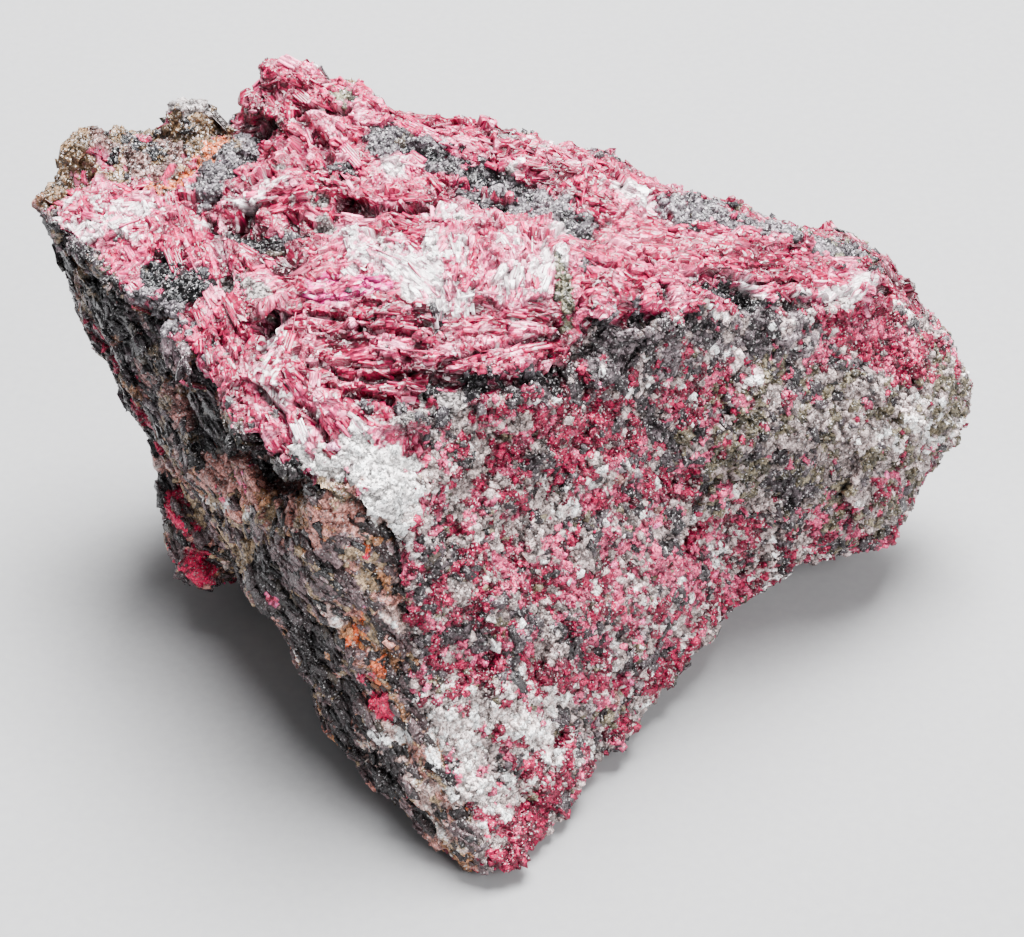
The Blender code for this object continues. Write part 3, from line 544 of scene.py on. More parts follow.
# Grains: each is one mineral, which mostly wins by its share there and by a random field of its
# own, so that like grains lie together in clumps of two or three millimetres. On the left side they
# are long, as the schist is foliated. Finer crumbs lie among them, but not on the vein.
GRAIN, BACK_GRAIN, CRUMB, BOULDER = 0.80, 1.25, 0.42, 1.7       # mm
SCHIST_GRAIN = (3.2, 0.95, 0.95)
CLUMP, CLUMPING, SHARING, LUCK = 2.0 * MM, 2.1, 1.35, 0.75
CRUMB_SHARE = 0.42
GRAIN_SHADES, CRUMB_SHADES = (0.62, 0.76), (0.58, 0.84)     # the darkest, and the range above it
MILK_SHADES = 0.45                      # how much of that range milky quartz has
GROOVE, GROOVE_WIDTH = 0.10, 0.22       # between grains: depth in mm, and width in grains
fine = places / MM
slant = Vector(seen(440, 760)[0] - seen(110, 300)[0]).normalized()
cleft = Vector((-0.80, -0.35, 0.35)).cross(slant).normalized()
sheet = slant.cross(cleft).normalized()
leaf = np.column_stack([fine @ np.array(way) for way in (slant, cleft, sheet)])
leaf += 0.5 * drift(3 * MM, (4, 5, 6))
warped = fine + 0.16 * drift(0.6 * MM, (7, 8, 9))
lattice = warped / np.where(on_back, BACK_GRAIN, GRAIN)[:, None]
lattice = np.where(on_left[:, None], leaf / SCHIST_GRAIN, lattice)
number, way, room = cells_of(lattice, 10)
luck = hashed(number, 11, 5)
score = np.log(makeup + 1e-4) * SHARING
for k in range(len(MINERALS)):
    score[:, k] += CLUMPING * smooth(places, CLUMP, 20 + k, 3)
draw = np.clip(hashed(number, 12, len(MINERALS)), 1e-6, 1 - 1e-6)
score -= np.log(-np.log(draw)) * LUCK
winner = score.argmax(axis=1)
crumb_number, _, _ = cells_of(warped / CRUMB + 7, 12)
crumb = hashed(crumb_number, 35, 2)
stray = (crumb[:, 0] < CRUMB_SHARE) & ~on_vein
score += 1.1 * CLUMPING * stray[:, None] * hashed(crumb_number, 36, len(MINERALS))
winner = np.where(stray, score.argmax(axis=1), winner)
variety = GRAIN_SHADES[0] + GRAIN_SHADES[1] * luck[:, :1]
variety = variety * (CRUMB_SHADES[0] + CRUMB_SHADES[1] * crumb[:, 1:])
variety **= np.where(winner == MINERALS.index("milk"), MILK_SHADES, 1.0)[:, None]
tones = np.array([COLOURS[mineral] for mineral in MINERALS])[winner] * variety

# How far each place stands out, in mm: pale minerals as round lumps, every grain with its own lean
# and step, and grooves between them, which are darkened with painted shade. The lens of quartz is
# smoother.
LUMP, LUMP_HALF = 0.42, 0.45            # a round lump's rise, and where it ends
LEAN, STEP = (0.34, 0.42), (0.24, 0.26)     # on the left face, and on the others
LENS_CALM, LENS_HALF = 0.55, 2.3        # how much less stands out in the lens, its half width
GROOVE_PAINTED_SHADE = 0.35
pale = np.isin(winner, (MINERALS.index("milk"), MINERALS.index("quartz")))
_, boulder_way, _ = cells_of(warped / BOULDER, 13)
lift = np.where(pale, LUMP * (LUMP_HALF - np.linalg.norm(boulder_way, axis=1)), 0.0)
leaning = (way * (luck[:, 1:4] - 0.5)).sum(axis=1) * np.where(on_left, *LEAN)
lift += leaning + (luck[:, 4] - 0.5) * np.where(on_left, *STEP)
lift -= GROOVE * edge(room, GROOVE_WIDTH)
lift *= 1 - LENS_CALM * np.clip(1.6 - over(LENS_HALF, LENS), 0, 1)
# Painted shade: the colour darkens towards the grooves between grains.
tones *= (1 - GROOVE_PAINTED_SHADE * edge(room, 0.16))[:, None]

# The vein's face: each sheaf is a pile of blocks that have cleaved along it, each with its own
# step, lean and shade, and split into slivers. Its other minerals lie in it as grains.
BLOCK = (0.65, 1.7, 1.8)        # length in blades, width and thickness in mm
SLIVER = (0.50, 0.46, 0.8)      # the same
BORDER = 0.4                    # how far a sheaf reaches past its width, in mm
SHEAF_END = 1.2                 # where its own palette ends, in half widths from its line
BLOCK_STEP, BLOCK_LEAN, BLOCK_TIP = 0.65, 0.70, 0.30        # the relief of a block, in mm
SLIVER_STEP, SLIVER_LEAN, STRIAE, SWELL = 0.09, 0.14, 0.02, 0.26
CRUSHED = 0.06                  # the share of slivers that are crushed to a pale powder
sheaves = []
own = fine.copy()
nearest, follow = np.full(len(places), 1e9), np.zeros((len(places), 3))
owner = np.zeros(len(places), dtype=int)
inside = np.flatnonzero(on_vein)
for index, (_, spots, width, *_) in enumerate(SHEAVES):
    line, up = line_of(spots)
    if len(line) < 2:
        continue
    sheaves.append((index, line, up))
    across, away = along_line(places[inside], line, up)
    away = away / (width / 2 + BORDER)
    away = away + 0.55 * smooth(places[inside], 2.0 * MM, 60 + index, 2)
    closer = away < nearest[inside]
    nearest[inside[closer]] = away[closer]
    follow[inside[closer]] = across[closer]
    owner[inside[closer]] = index
length = np.array([(row[3][0] + row[3][1]) / 2 for row in SHEAVES])[owner]
spread = np.array([row[7] for row in SHEAVES])[owner]
follow += 0.12 * drift(3.0 * MM, (14, 15, 16), 1)
shift = owner[:, None] * 41.0
every = np.ones(len(places))
block_size = [length * BLOCK[0], BLOCK[1] + 0.2 * (spread > 0.2), every * BLOCK[2]]
blocks, block_way, block_room = cells_of(follow / np.column_stack(block_size) + shift, 17)
block = hashed(blocks, 18, 6)
turn = (block[:, 0] - 0.5) * 2.8 * spread
lie = np.column_stack([
    follow[:, 0] * np.cos(turn) + follow[:, 1] * np.sin(turn),
    follow[:, 1] * np.cos(turn) - follow[:, 0] * np.sin(turn),
    follow[:, 2],
])
sliver_size = [length * SLIVER[0] + 0.4, every * SLIVER[1], every * SLIVER[2]]
lattice = lie / np.column_stack(sliver_size) + shift + blocks % 7 * 5
slivers, sliver_way, _ = cells_of(lattice, 19)
sliver = hashed(slivers, 20, 5)
striae = smooth(lie / (5.0, 0.30, 0.6) + shift, 1.0, 21, 2)
vein_lift = (block[:, 1] - 0.5) * BLOCK_STEP
vein_lift += block_way[:, 1] * (block[:, 2] - 0.5) * BLOCK_LEAN
vein_lift += block_way[:, 0] * (block[:, 3] - 0.5) * BLOCK_TIP
sliver_lift = (sliver[:, 0] - 0.5) * SLIVER_STEP
sliver_lift += sliver_way[:, 1] * (sliver[:, 1] - 0.5) * SLIVER_LEAN
vein_lift += sliver_lift + STRIAE * striae
vein_lift += SWELL * smooth(lie / (6.0, 2.2, 2.2) + shift, 1.0, 37, 2)
vein_lift -= GROOVE * edge(block_room, 0.12)
shade = 0.5 + 0.62 * (block[:, 4] - 0.5) + 0.26 * (sliver[:, 2] - 0.5)
shade += 0.36 * smooth(places, 4.2 * MM, 22, 2)
shade += 0.08 * striae
bright = [k for k, row in enumerate(SHEAVES) if row[6] in ("bright", "light")]
shade += 0.10 * (1 - np.isin(owner, bright))
vein_tones = np.zeros_like(tones)
for index, row in enumerate(SHEAVES):
    for mine, palette in (
        ((owner == index) & (nearest < SHEAF_END), row[6]),
        ((owner == index) & (nearest >= SHEAF_END), BEYOND.get(row[6], row[6])),
    ):
        table = np.array([TONES[name] for name in PALETTES[palette]])
        vein_tones[mine] = ramp(table, shade[mine])
crushed = (sliver[:, 3] < CRUSHED) & (shade < 0.75)
vein_tones[crushed] = TONES["blush"]
vein_tones *= 0.78 + 0.44 * sliver[:, 4:5]
# Rims: half the blocks are paler there, the rest darkened with painted shade in the cracks.
rim = edge(block_room, 0.10)[:, None]
light_rim = block[:, 5:6] < 0.5
vein_tones += (np.array(TONES["blush"]) - vein_tones) * 0.5 * rim * light_rim
vein_tones *= 1 - 0.45 * rim * ~light_rim
lode = on_vein & (winner < 3)       # the first three minerals, which are all roselite
grainy = np.where(lode, 0.0, 1.0)
tones[lode], lift[lode] = vein_tones[lode], vein_lift[lode]
own[lode] = lie[lode] + (blocks[lode] % 11) * 3.7
lift[on_vein & ~lode] *= 0.6        # grains in the vein are worn down

# The breaks of the whole lump, the foliation of the left side, and the hollows and swells: lines
# along which the rock is broken deeper or stands out, with their half width and depth in mm.
FACETS = ((6.0, 1.5), (2.4, 0.8))       # size in mm of the flat breaks, and how steeply they lie
FACET_MOST = 0.8
RIDGES, FOLDS, WAVES = 0.50, 0.07, (0.04, 0.28)     # of the schist, and of the vein and the others
REST, REST_SHARE = 1.2 * MM, 0.15       # how high the flat rest reaches, and the relief left on it
HOLLOWS = (
    ("recess under the lip", 0.9, 1.7, ((345, 206), (385, 211), (430, 207))),
    ("recess beside the bundle", 1.7, 1.1, ((236, 226), (262, 240), (286, 262))),
    ("under the slanting bundle", 0.7, 1.0, ((262, 328), (294, 306))),
    ("notch below the peak", 1.3, 1.6, ((236, 112), (262, 130))),
    ("under the brow", 0.9, 1.3, ((440, 380), (500, 388), (560, 380))),
    ("left overhang", 1.5, 1.5, ((246, 450), (272, 474), (302, 488))),
    ("left overhang, under the lens", 0.7, 1.0, ((302, 488), (340, 494), (376, 516), (394, 542))),
    ("crack of the plateau", 0.6, 0.8, ((455, 186), (500, 206))),
    ("under the right band", 0.8, 1.1, ((590, 326), (640, 322), (690, 322))),
    ("under the pale edge", 0.8, 1.0, ((790, 304), (840, 298), (888, 288))),
    ("beside the long bundle", 0.6, 1.0, ((208, 218), (220, 250), (230, 290))),
    ("between the striped blades", 0.5, 0.9, ((270, 322), (262, 352))),
    ("pocket", 0.6, 0.9, ((664, 284), (670, 302))),
    ("black pocket", 1.2, 1.3, ((710, 284), (745, 298))),
    ("right of the brow", 1.0, 1.3, ((560, 372), (585, 350), (600, 338))),
    ("seam of the long band", 0.5, 0.8, ((600, 262), (640, 266), (690, 274))),
    ("seam by the slate band", 0.6, 0.9, ((560, 216), (582, 232), (604, 240))),
    ("crack below the peak", 0.6, 0.9, ((300, 120), (322, 142), (330, 165))),
    ("beside the white spot", 0.7, 1.0, ((250, 206), (240, 224))),
    ("slanting bundle", 0.5, -0.9, ((250, 318), (262, 311), (275, 303), (288, 296), (300, 289))),
    ("rod", 0.35, -0.4, ((220, 208), (236, 205), (252, 202), (268, 200), (300, 198), (330, 196))),
    ("crack under the crimson blocks", 0.32, 0.8,
     ((309, 312), (328, 316), (347, 318), (372, 318))),
    ("crack in the slope", 0.32, 0.8, ((359, 327), (385, 332), (410, 334), (438, 324))),
    ("crack at the striations", 0.32, 0.9,
     ((321, 365), (345, 374), (366, 378), (390, 377), (410, 375))),
    ("crack below them", 0.32, 0.8, ((328, 387), (348, 392), (366, 394), (391, 400))),
    ("crack over the brow", 0.35, 0.8,
     ((440, 366), (460, 356), (482, 348), (520, 342), (556, 338))),
    ("crack left of the stripes", 0.32, 0.8, ((217, 330), (225, 348), (233, 362), (246, 340))),
    ("crack of the corner", 0.35, 0.9, ((296, 402), (308, 412), (318, 424), (330, 442))),
    ("crack of the corner, left", 0.32, 0.8, ((258, 388), (270, 402), (282, 416), (290, 436))),
    ("crack under the slate", 0.35, 0.7,
     ((463, 198), (480, 208), (495, 216), (514, 226), (533, 234))),
    ("crack of the band", 0.35, 0.9,
     ((570, 226), (586, 230), (602, 235), (628, 246), (653, 257), (672, 258))),
    ("crack of the right band", 0.32, 0.8, ((690, 270), (730, 276), (770, 282), (800, 280))),
    ("crack of the peak", 0.45, 1.0, ((262, 130), (278, 122), (293, 114), (320, 110), (346, 112))),
    ("wine blade", 0.45, 0.8, ((301, 144), (304, 158), (306, 172))),
    ("peak, right", 0.35, 0.8, ((318, 62), (330, 68), (342, 78))),
    ("grey bump", 2.2, -2.6, ((190, 128), (216, 127))),
    ("rust tip", 2.2, -2.2, ((80, 172), (88, 156))),
    ("bottom tip", 2.2, -1.4, ((522, 868), (536, 846))),
    ("left notch", 3.0, 1.3, ((72, 290), (85, 330))),
    ("lower right edge", 3.0, 1.1, ((600, 765), (625, 745), (640, 720))),
)
hollow = np.zeros(len(places))
for _, half_width, depth, stroke in HOLLOWS:
    near = np.clip(1.5 - over(half_width, stroke), 0, 1)
    hollow += depth * near ** 2 * (3 - 2 * near)
for size, slope in FACETS:
    cell, away, _ = cells_of(fine / size, 30 + int(size))
    lean = hashed(cell, 31, 3) - 0.5
    rise = (away * lean).sum(axis=1) * slope * size * 0.22
    lift += np.clip(rise, -FACET_MOST, FACET_MOST)
ridges = smooth(leaf / (8.0, 1.9, 1.9), 1.0, 32, 2)
folds = smooth(leaf / (3.0, 0.7, 0.7), 1.0, 33, 2)
waves = np.where(lode, *WAVES) * smooth(places, 2.2 * MM, 34, 3)
lift += np.where(on_left, RIDGES * ridges + FOLDS * folds, waves)
lift -= hollow
lift *= np.where(places[:, 2] < REST, REST_SHARE, 1.0)

# Painted shade, with dust, darkens what lies lower than what is round it, and a painted highlight
# lightens what stands higher; the hollows are darkened with painted shade too. The left face is
# paler lower down in the picture, and the front is a little warmer.
ROUNDS, DEEP, DARKEST_PAINTED_SHADE, LIGHTEST_PAINTED_HIGHLIGHT = 4, 0.16, 0.45, 1.25
HOLLOW_PAINTED_SHADE, PALEST = 0.7, 0.95
LEFT_ABOVE, LEFT_BELOW, FRONT = (1.32, 1.02, 1.04), (3.05, 2.30, 2.12), (1.13, 1.0, 0.98)
edges = read(rock.data.edges, "vertices", 2, int)
valence = np.bincount(edges.ravel(), minlength=len(places))
level = lift.copy()
for _ in range(ROUNDS):
    total = np.bincount(edges[:, 0], level[edges[:, 1]], len(places))
    total += np.bincount(edges[:, 1], level[edges[:, 0]], len(places))
    level = (level + total) / (1 + valence)
unshaded_tones = tones.copy()        # the minerals' own colours, before the painted shade and highlights
# Painted shade in low places and a painted highlight on high ones.
tones *= np.clip(1 + (lift - level) / DEEP, DARKEST_PAINTED_SHADE, LIGHTEST_PAINTED_HIGHLIGHT)[:, None]
# Painted shade in the hollows.
tones *= (1 - HOLLOW_PAINTED_SHADE * np.clip(hollow, 0, 1))[:, None]
low = np.clip((picture_of(places)[:, 1] - 430) / 80, 0, 1)[:, None]
# The left face's colour is scaled by its height in the picture, paler lower down.
left_graded = tones * (np.array(LEFT_ABOVE) * (1 - low) + np.array(LEFT_BELOW) * low)
tones = np.where(on_left[:, None], left_graded, tones)
tones = np.where(on_front[:, None], tones * FRONT, tones)
tones = np.clip(tones, 0, PALEST)
places += facings * lift[:, None] * MM
places[:, 2] = np.maximum(places[:, 2], 0.0)
rock.data.vertices.foreach_set("co", places.ravel())
rock.data.update()


def carry(mesh, name, kind, prop, values):
    """An attribute on the points of a mesh."""
    layer = mesh.attributes.new(name, kind, "POINT")
    layer.data.foreach_set(prop, values.ravel())


# The tone carries the minerals' colours with the painted shade and highlights worked in.
carry(rock.data, "tone", "FLOAT_COLOR", "color", np.column_stack([tones, every]))
carry(rock.data, "own", "FLOAT_VECTOR", "vector", own)
carry(rock.data, "grainy", "FLOAT", "value", grainy)
rock_tree = tree_of(rock)

MIX_SOCKETS = {"FLOAT": (2, 3, 0), "VECTOR": (4, 5, 1), "RGBA": (6, 7, 2)}     # two in, one out
MIDDLE = (0.5, 0.5, 0.5)            # of random vectors, whose parts run from 0 to 1
RAGGEDNESS = (0.65, 0.65, 0.65)


def add_node(tree, kind, inputs=None, **settings):
    """A node with its settings; its inputs are set to values, or linked where they are sockets."""
    made = tree.nodes.new("ShaderNode" + kind)
    for key, value in settings.items():
        setattr(made, key, value)
    for key, value in (inputs or {}).items():
        if isinstance(value, bpy.types.NodeSocket):
            tree.links.new(value, made.inputs[key])
        else:
            made.inputs[key].default_value = value
    return made


def maths(tree, operation, a, b):
    """Two values, worked together."""
    return add_node(tree, "Math", {0: a, 1: b}, operation=operation).outputs[0]


def vectors(tree, operation, *parts):
    """Vectors, worked together."""
    return add_node(
        tree, "VectorMath", dict(enumerate(parts)), operation=operation,
    ).outputs[0]


def scaled(tree, vector, factor):
    """A vector or a colour, times a value."""
    return add_node(
        tree, "VectorMath", {0: vector, "Scale": factor}, operation="SCALE",
    ).outputs[0]


def mixed(tree, factor, first, second, kind="FLOAT"):
    """A mix of two values, vectors or colours."""
    a, b, out = MIX_SOCKETS[kind]
    inputs = {"Factor": factor, a: first, b: second}
    return add_node(tree, "Mix", inputs, data_type=kind).outputs[out]


def ranged(tree, value, before, after):
    """A value brought from one range to another, and kept in it."""
    return add_node(tree, "MapRange", {
        "Value": value, "From Min": before[0], "From Max": before[1],
        "To Min": after[0], "To Max": after[1],
    }).outputs[0]


def new_group(name, takes, gives):
    """An empty shader node group, what comes into it and what it gives."""
    group = bpy.data.node_groups.new(name, "ShaderNodeTree")
    for socket, kind, value in takes:
        kind = "NodeSocket" + kind
        made = group.interface.new_socket(socket, in_out="INPUT", socket_type=kind)
        if value is not None:
            made.default_value = value
    for socket, kind in gives:
        kind = "NodeSocket" + kind
        group.interface.new_socket(socket, in_out="OUTPUT", socket_type=kind)
    taken = group.nodes.new("NodeGroupInput").outputs
    return group, taken, group.nodes.new("NodeGroupOutput").inputs


# Crystals are cells of a given size with ragged edges. Each has its own shade, and its face is
# turned its own way, which is what makes a broken rock glint.
crystals, taken, given = new_group(
    "crystals",
    (("Position", "Vector", None), ("Size", "Float", 0.001), ("Turn", "Float", 0.6)),
    (("Shade", "Float"), ("Glint", "Float"), ("Depth", "Float"), ("Normal", "Vector")),
)
place = scaled(crystals, taken["Position"], maths(crystals, "DIVIDE", 1.0, taken["Size"]))
ragged = add_node(crystals, "TexNoise", {"Vector": place, "Scale": 1.7, "Detail": 0.0})
ragged = vectors(crystals, "SUBTRACT", ragged.outputs["Color"], MIDDLE)
ragged = vectors(crystals, "MULTIPLY_ADD", ragged, RAGGEDNESS, place)
cell = add_node(crystals, "TexVoronoi", {"Vector": ragged, "Scale": 1.0})
parts = add_node(crystals, "SeparateColor", {"Color": cell.outputs["Color"]})
turned = vectors(crystals, "SUBTRACT", cell.outputs["Color"], MIDDLE)
turned = scaled(crystals, turned, taken["Turn"])
facing = add_node(crystals, "NewGeometry").outputs["Normal"]
turned = vectors(crystals, "NORMALIZE", vectors(crystals, "ADD", turned, facing))
for source, target in (
    (parts.outputs["Green"], "Shade"), (parts.outputs["Blue"], "Glint"),
    (cell.outputs["Distance"], "Depth"), (turned, "Normal"),
):
    crystals.links.new(source, given[target])


def new_material(name):
    """A material, its node tree, and the tone that the surface carries."""
    made = bpy.data.materials.new(name)
    made.use_nodes = True
    tree = made.node_tree
    return made, tree, add_node(tree, "Attribute", attribute_name="tone").outputs["Color"]


def cut(tree, position, size, turn):
    """Crystals of this size, turned by up to so much."""
    inputs = {"Position": position, "Size": size, "Turn": turn}
    return add_node(tree, "Group", inputs, node_tree=crystals).outputs


def finish(tree, tone, colour, glint, painted_glint_share, white, gloss, ior, bump):
    """The colour with pale specks painted as glints, the gloss and the relief, on the material's
    surface.
    """
    surface = tree.nodes["Principled BSDF"].inputs
    # Painted glints: cells with the highest glint value are mixed half way to white.
    painted_glint = maths(tree, "GREATER_THAN", glint, 1 - painted_glint_share)
    pale = mixed(tree, 0.5, tone, white, "RGBA")
    tree.links.new(mixed(tree, painted_glint, colour, pale, "RGBA"), surface["Base Color"])
    tree.links.new(ranged(tree, glint, (0.0, 1.0), gloss), surface["Roughness"])
    surface["IOR"].default_value = ior
    tree.links.new(bump.outputs[0], surface["Normal"])


def sugary(name, roughness):
    """A material of crystals of two sizes, over the tone that the surface carries, with painted
    glints.
    """
    made, tree, tone = new_material(name)
    position = add_node(tree, "TexCoord").outputs["Object"]
    coarse, fine = cut(tree, position, 0.36 * MM, 0.7), cut(tree, position, 0.14 * MM, 1.2)
    shade = mixed(tree, 0.55, coarse["Shade"], fine["Shade"])
    colour = scaled(tree, tone, ranged(tree, shade, (0.2, 0.8), (0.30, 1.75)))
    relief = add_node(tree, "Bump", {
        "Strength": 0.6, "Distance": 0.12 * MM, "Normal": fine["Normal"],
        "Height": mixed(tree, 0.4, coarse["Depth"], fine["Depth"]),
    }, invert=True)
    finish(
        tree, tone, colour, fine["Glint"], 0.045, (0.9, 0.87, 0.88, 1.0),
        (roughness + 0.2, roughness - 0.1), 1.5, relief,
    )
    return made


def glassy(name, turn, painted_glint_share, roughness, with_grains=False):
    """A material of striated crystal: streaks along it, cleavage cells across and painted glints as
    specks.
    """
    made, tree, tone = new_material(name)
    own = add_node(tree, "Attribute", attribute_name="own").outputs["Vector"]

    def streaked(stretch, detail):
        """Noise that is drawn out along the crystal."""
        inputs = {"Vector": vectors(tree, "MULTIPLY", own, stretch), "Scale": 1.0}
        return add_node(tree, "TexNoise", {**inputs, "Detail": detail}).outputs["Fac"]

    streaks = streaked((0.5, 8.0, 8.0), 3.0)
    split = cut(tree, vectors(tree, "MULTIPLY", own, (0.4, 1.0, 1.0)), 0.24, turn)
    value = mixed(tree, 0.5, streaks, split["Shade"])
    glint, height, normal = split["Glint"], streaks, split["Normal"]
    if with_grains:
        grainy = add_node(tree, "Attribute", attribute_name="grainy").outputs["Fac"]
        grains = cut(tree, add_node(tree, "TexCoord").outputs["Object"], 0.22 * MM, 1.1)
        value = mixed(tree, grainy, value, grains["Shade"])
        glint = mixed(tree, grainy, glint, grains["Glint"])
        height = mixed(tree, grainy, height, grains["Depth"])
        normal = mixed(tree, grainy, normal, grains["Normal"], "VECTOR")
    colour = scaled(tree, tone, ranged(tree, value, (0.25, 0.75), (0.35, 1.65)))

    # Wider lines along the crystal, dark and light, which the grains don't have.
    lines = streaked((0.28, 3.8, 3.8), 2.0)
    dark = ranged(tree, lines, (0.38, 0.48), (0.85, 0.0))
    light = ranged(tree, lines, (0.59, 0.66), (0.0, 0.25))
    if with_grains:
        sheer = maths(tree, "SUBTRACT", 1.0, grainy)
        dark, light = maths(tree, "MULTIPLY", dark, sheer), maths(tree, "MULTIPLY", light, sheer)
    deep = vectors(tree, "MULTIPLY", colour, (0.38, 0.10, 0.18))
    colour = mixed(tree, dark, colour, deep, "RGBA")
    colour = mixed(tree, light, colour, (0.90, 0.52, 0.62, 1.0), "RGBA")
    relief = add_node(tree, "Bump", {
        "Strength": 0.6, "Distance": 0.06 * MM, "Height": height, "Normal": normal,
    })
    finish(
        tree, tone, colour, glint, painted_glint_share, (0.95, 0.80, 0.84, 1.0),
        (roughness + 0.15, roughness - 0.1), 1.55, relief,
    )
    return made


broken_face = sugary("broken_face", 0.32)
schist = sugary("schist", 0.22)
vein_face = glassy("vein_face", 0.5, 0.04, 0.21, with_grains=True)

# Each face of the lump is a piece of its own, which runs in to one point in the lump's middle.
HEART = (2 * MM, 8 * MM, 20 * MM)
loop_starts = read(rock.data.polygons, "loop_start", 1, int)
loop_points = read(rock.data.loops, "vertex_index", 1, int)
firsts = loop_points[loop_starts]
zones = np.select([on_vein[firsts], on_front[firsts], on_left[firsts]], [1, 2, 3], 0)
four = np.diff(np.append(loop_starts, len(loop_points))) == 4
corner_of = loop_points[loop_starts[four][:, None] + np.arange(4)]
layer = rock.data.attributes.new("zone", "INT", "FACE")
layer.data.foreach_set("value", zones.astype(np.int32))
bpy.context.scene.cursor.location = HEART
for zone, name, material in (
    (1, "vein", vein_face), (2, "front", broken_face), (3, "left_side", schist),
    (0, "back_and_foot", broken_face),
):
    face = rock
    if zone:
        left_over = read(rock.data.attributes["zone"].data, "value", 1, np.int32)
        select_faces(rock, left_over == zone)
        bpy.ops.mesh.separate(type="SELECTED")
        bpy.ops.object.mode_set(mode="OBJECT")
        face = next(thing for thing in bpy.context.selected_objects if thing is not rock)
        face.name = name
    only(face)
    bpy.ops.object.mode_set(mode="EDIT")
    bpy.ops.mesh.select_mode(type="EDGE")
    bpy.ops.mesh.select_all(action="DESELECT")
    bpy.ops.mesh.select_non_manifold(
        extend=False, use_wire=False, use_boundary=True, use_multi_face=False,
        use_non_contiguous=False, use_verts=False,
    )
    bpy.ops.mesh.extrude_edges_indiv()
    bpy.ops.mesh.merge(type="CURSOR")
    bpy.ops.object.mode_set(mode="OBJECT")
    face.data.materials.clear()
    face.data.materials.append(material)
    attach(face, "root")
    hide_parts("specimen")

# ------------------------------------------------------------------------------------------------
# The grains that stand out of the broken faces: quartz, roselite and schist of a third of a
# millimetre to a millimetre, each a little crystal with its own facets, held in the rock by half.
GRAIN_SIZES = (0.24, 0.75)      # mm across
SUNK = 0.22                     # of its size, from the face
VARIANTS = 16
GRAIN_RUFFLE, FLAKE_RUFFLE = (0.28, 0.28, 0.28), (0.22, 0.22, 0.18)     # of corners, in sizes


def cube():
    """A cube, one across, in the middle."""
    bpy.ops.object.select_all(action="DESELECT")
    bpy.ops.mesh.primitive_cube_add(size=1.0, location=(0, 0, 0))
    return bpy.context.object


grain = cube()


def variants_of(thing, seed, ruffle):
    """The corners of a small mesh in several forms, each with its corners moved, and its faces."""
    rng = random.Random(seed)
    forms = [
        [
            tuple(v.co + Vector([rng.uniform(-1, 1) * part for part in ruffle]))
            for v in thing.data.vertices
        ]
        for _ in range(VARIANTS)
    ]
    return np.array(forms), [tuple(face.vertices) for face in thing.data.polygons]


def strewn(name, forms, faces, kinds, axes, origins, tones, material):
    """One mesh of many copies of a small one, each with its form, its three axes, its place and
    its tone."""
    count, corners = len(axes), forms.shape[1]
    shaped = forms[kinds]
    points = np.einsum("ncj,njk->nck", shaped, axes) + origins[:, None, :]
    points[:, :, 2] = np.maximum(points[:, :, 2], 0.0)
    own = shaped * np.linalg.norm(axes, axis=2)[:, None, :] / MM
    own += (np.arange(count) % 997)[:, None, None] * 3.7
    loops = np.concatenate([np.array(face) for face in faces])
    starts = np.cumsum([0] + [len(face) for face in faces])
    every = (np.arange(count)[:, None] * corners + loops[None, :]).ravel()
    begin = (np.arange(count)[:, None] * len(loops) + starts[None, :-1]).ravel()
    mesh = bpy.data.meshes.new(name)
    mesh.vertices.add(count * corners)
    mesh.loops.add(len(every))
    mesh.polygons.add(len(begin))
    mesh.vertices.foreach_set("co", points.ravel())
    mesh.loops.foreach_set("vertex_index", every)
    mesh.polygons.foreach_set("loop_start", begin)
    mesh.update(calc_edges=True)
    tones = np.column_stack([np.clip(tones, 0, PALEST), np.ones(count)])
    carry(mesh, "tone", "FLOAT_COLOR", "color", np.repeat(tones, corners, axis=0))
    carry(mesh, "own", "FLOAT_VECTOR", "vector", own)
    mesh.validate()
    made = bpy.data.objects.new(name, mesh)
    bpy.context.scene.collection.objects.link(made)
    mesh.materials.append(material)
    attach(made, "root")


def turned_axes(count, dice):
    """Random turns, as rows of three axes."""
    q = dice.normal(size=(count, 4))
    q /= np.linalg.norm(q, axis=1)[:, None]
    w, x, y, z = q.T
    return np.stack([
        np.stack([1 - 2 * (y * y + z * z), 2 * (x * y + w * z), 2 * (x * z - w * y)], axis=1),
        np.stack([2 * (x * y - w * z), 1 - 2 * (x * x + z * z), 2 * (y * z + w * x)], axis=1),
        np.stack([2 * (x * z + w * y), 2 * (y * z - w * x), 1 - 2 * (x * x + y * y)], axis=1),
    ], axis=1)


# Places for grains are drawn from the rock's faces by their area and by how many such a face has.
BARE_FOOT = 0.8 * MM
corners = places[corner_of]
spans = np.cross(corners[:, 2] - corners[:, 0], corners[:, 3] - corners[:, 1])
areas = np.linalg.norm(spans, axis=1) / 2
at = corner_of[:, 0]
outward = facings[at]
wanted = areas * np.where(places[at, 2] < BARE_FOOT, 0.0, 1.0)


def scatter(count, weight, dice):
    """Places on the rock's faces, drawn by weight: the face of each, and a point in it."""
    chosen = dice.choice(len(weight), size=count, p=weight / weight.sum())
    u, v = dice.uniform(size=(2, count, 1))
    c = corners[chosen]
    spot = (c[:, 0] * (1 - u) + c[:, 1] * u) * (1 - v) + (c[:, 3] * (1 - u) + c[:, 2] * u) * v
    return chosen, spot


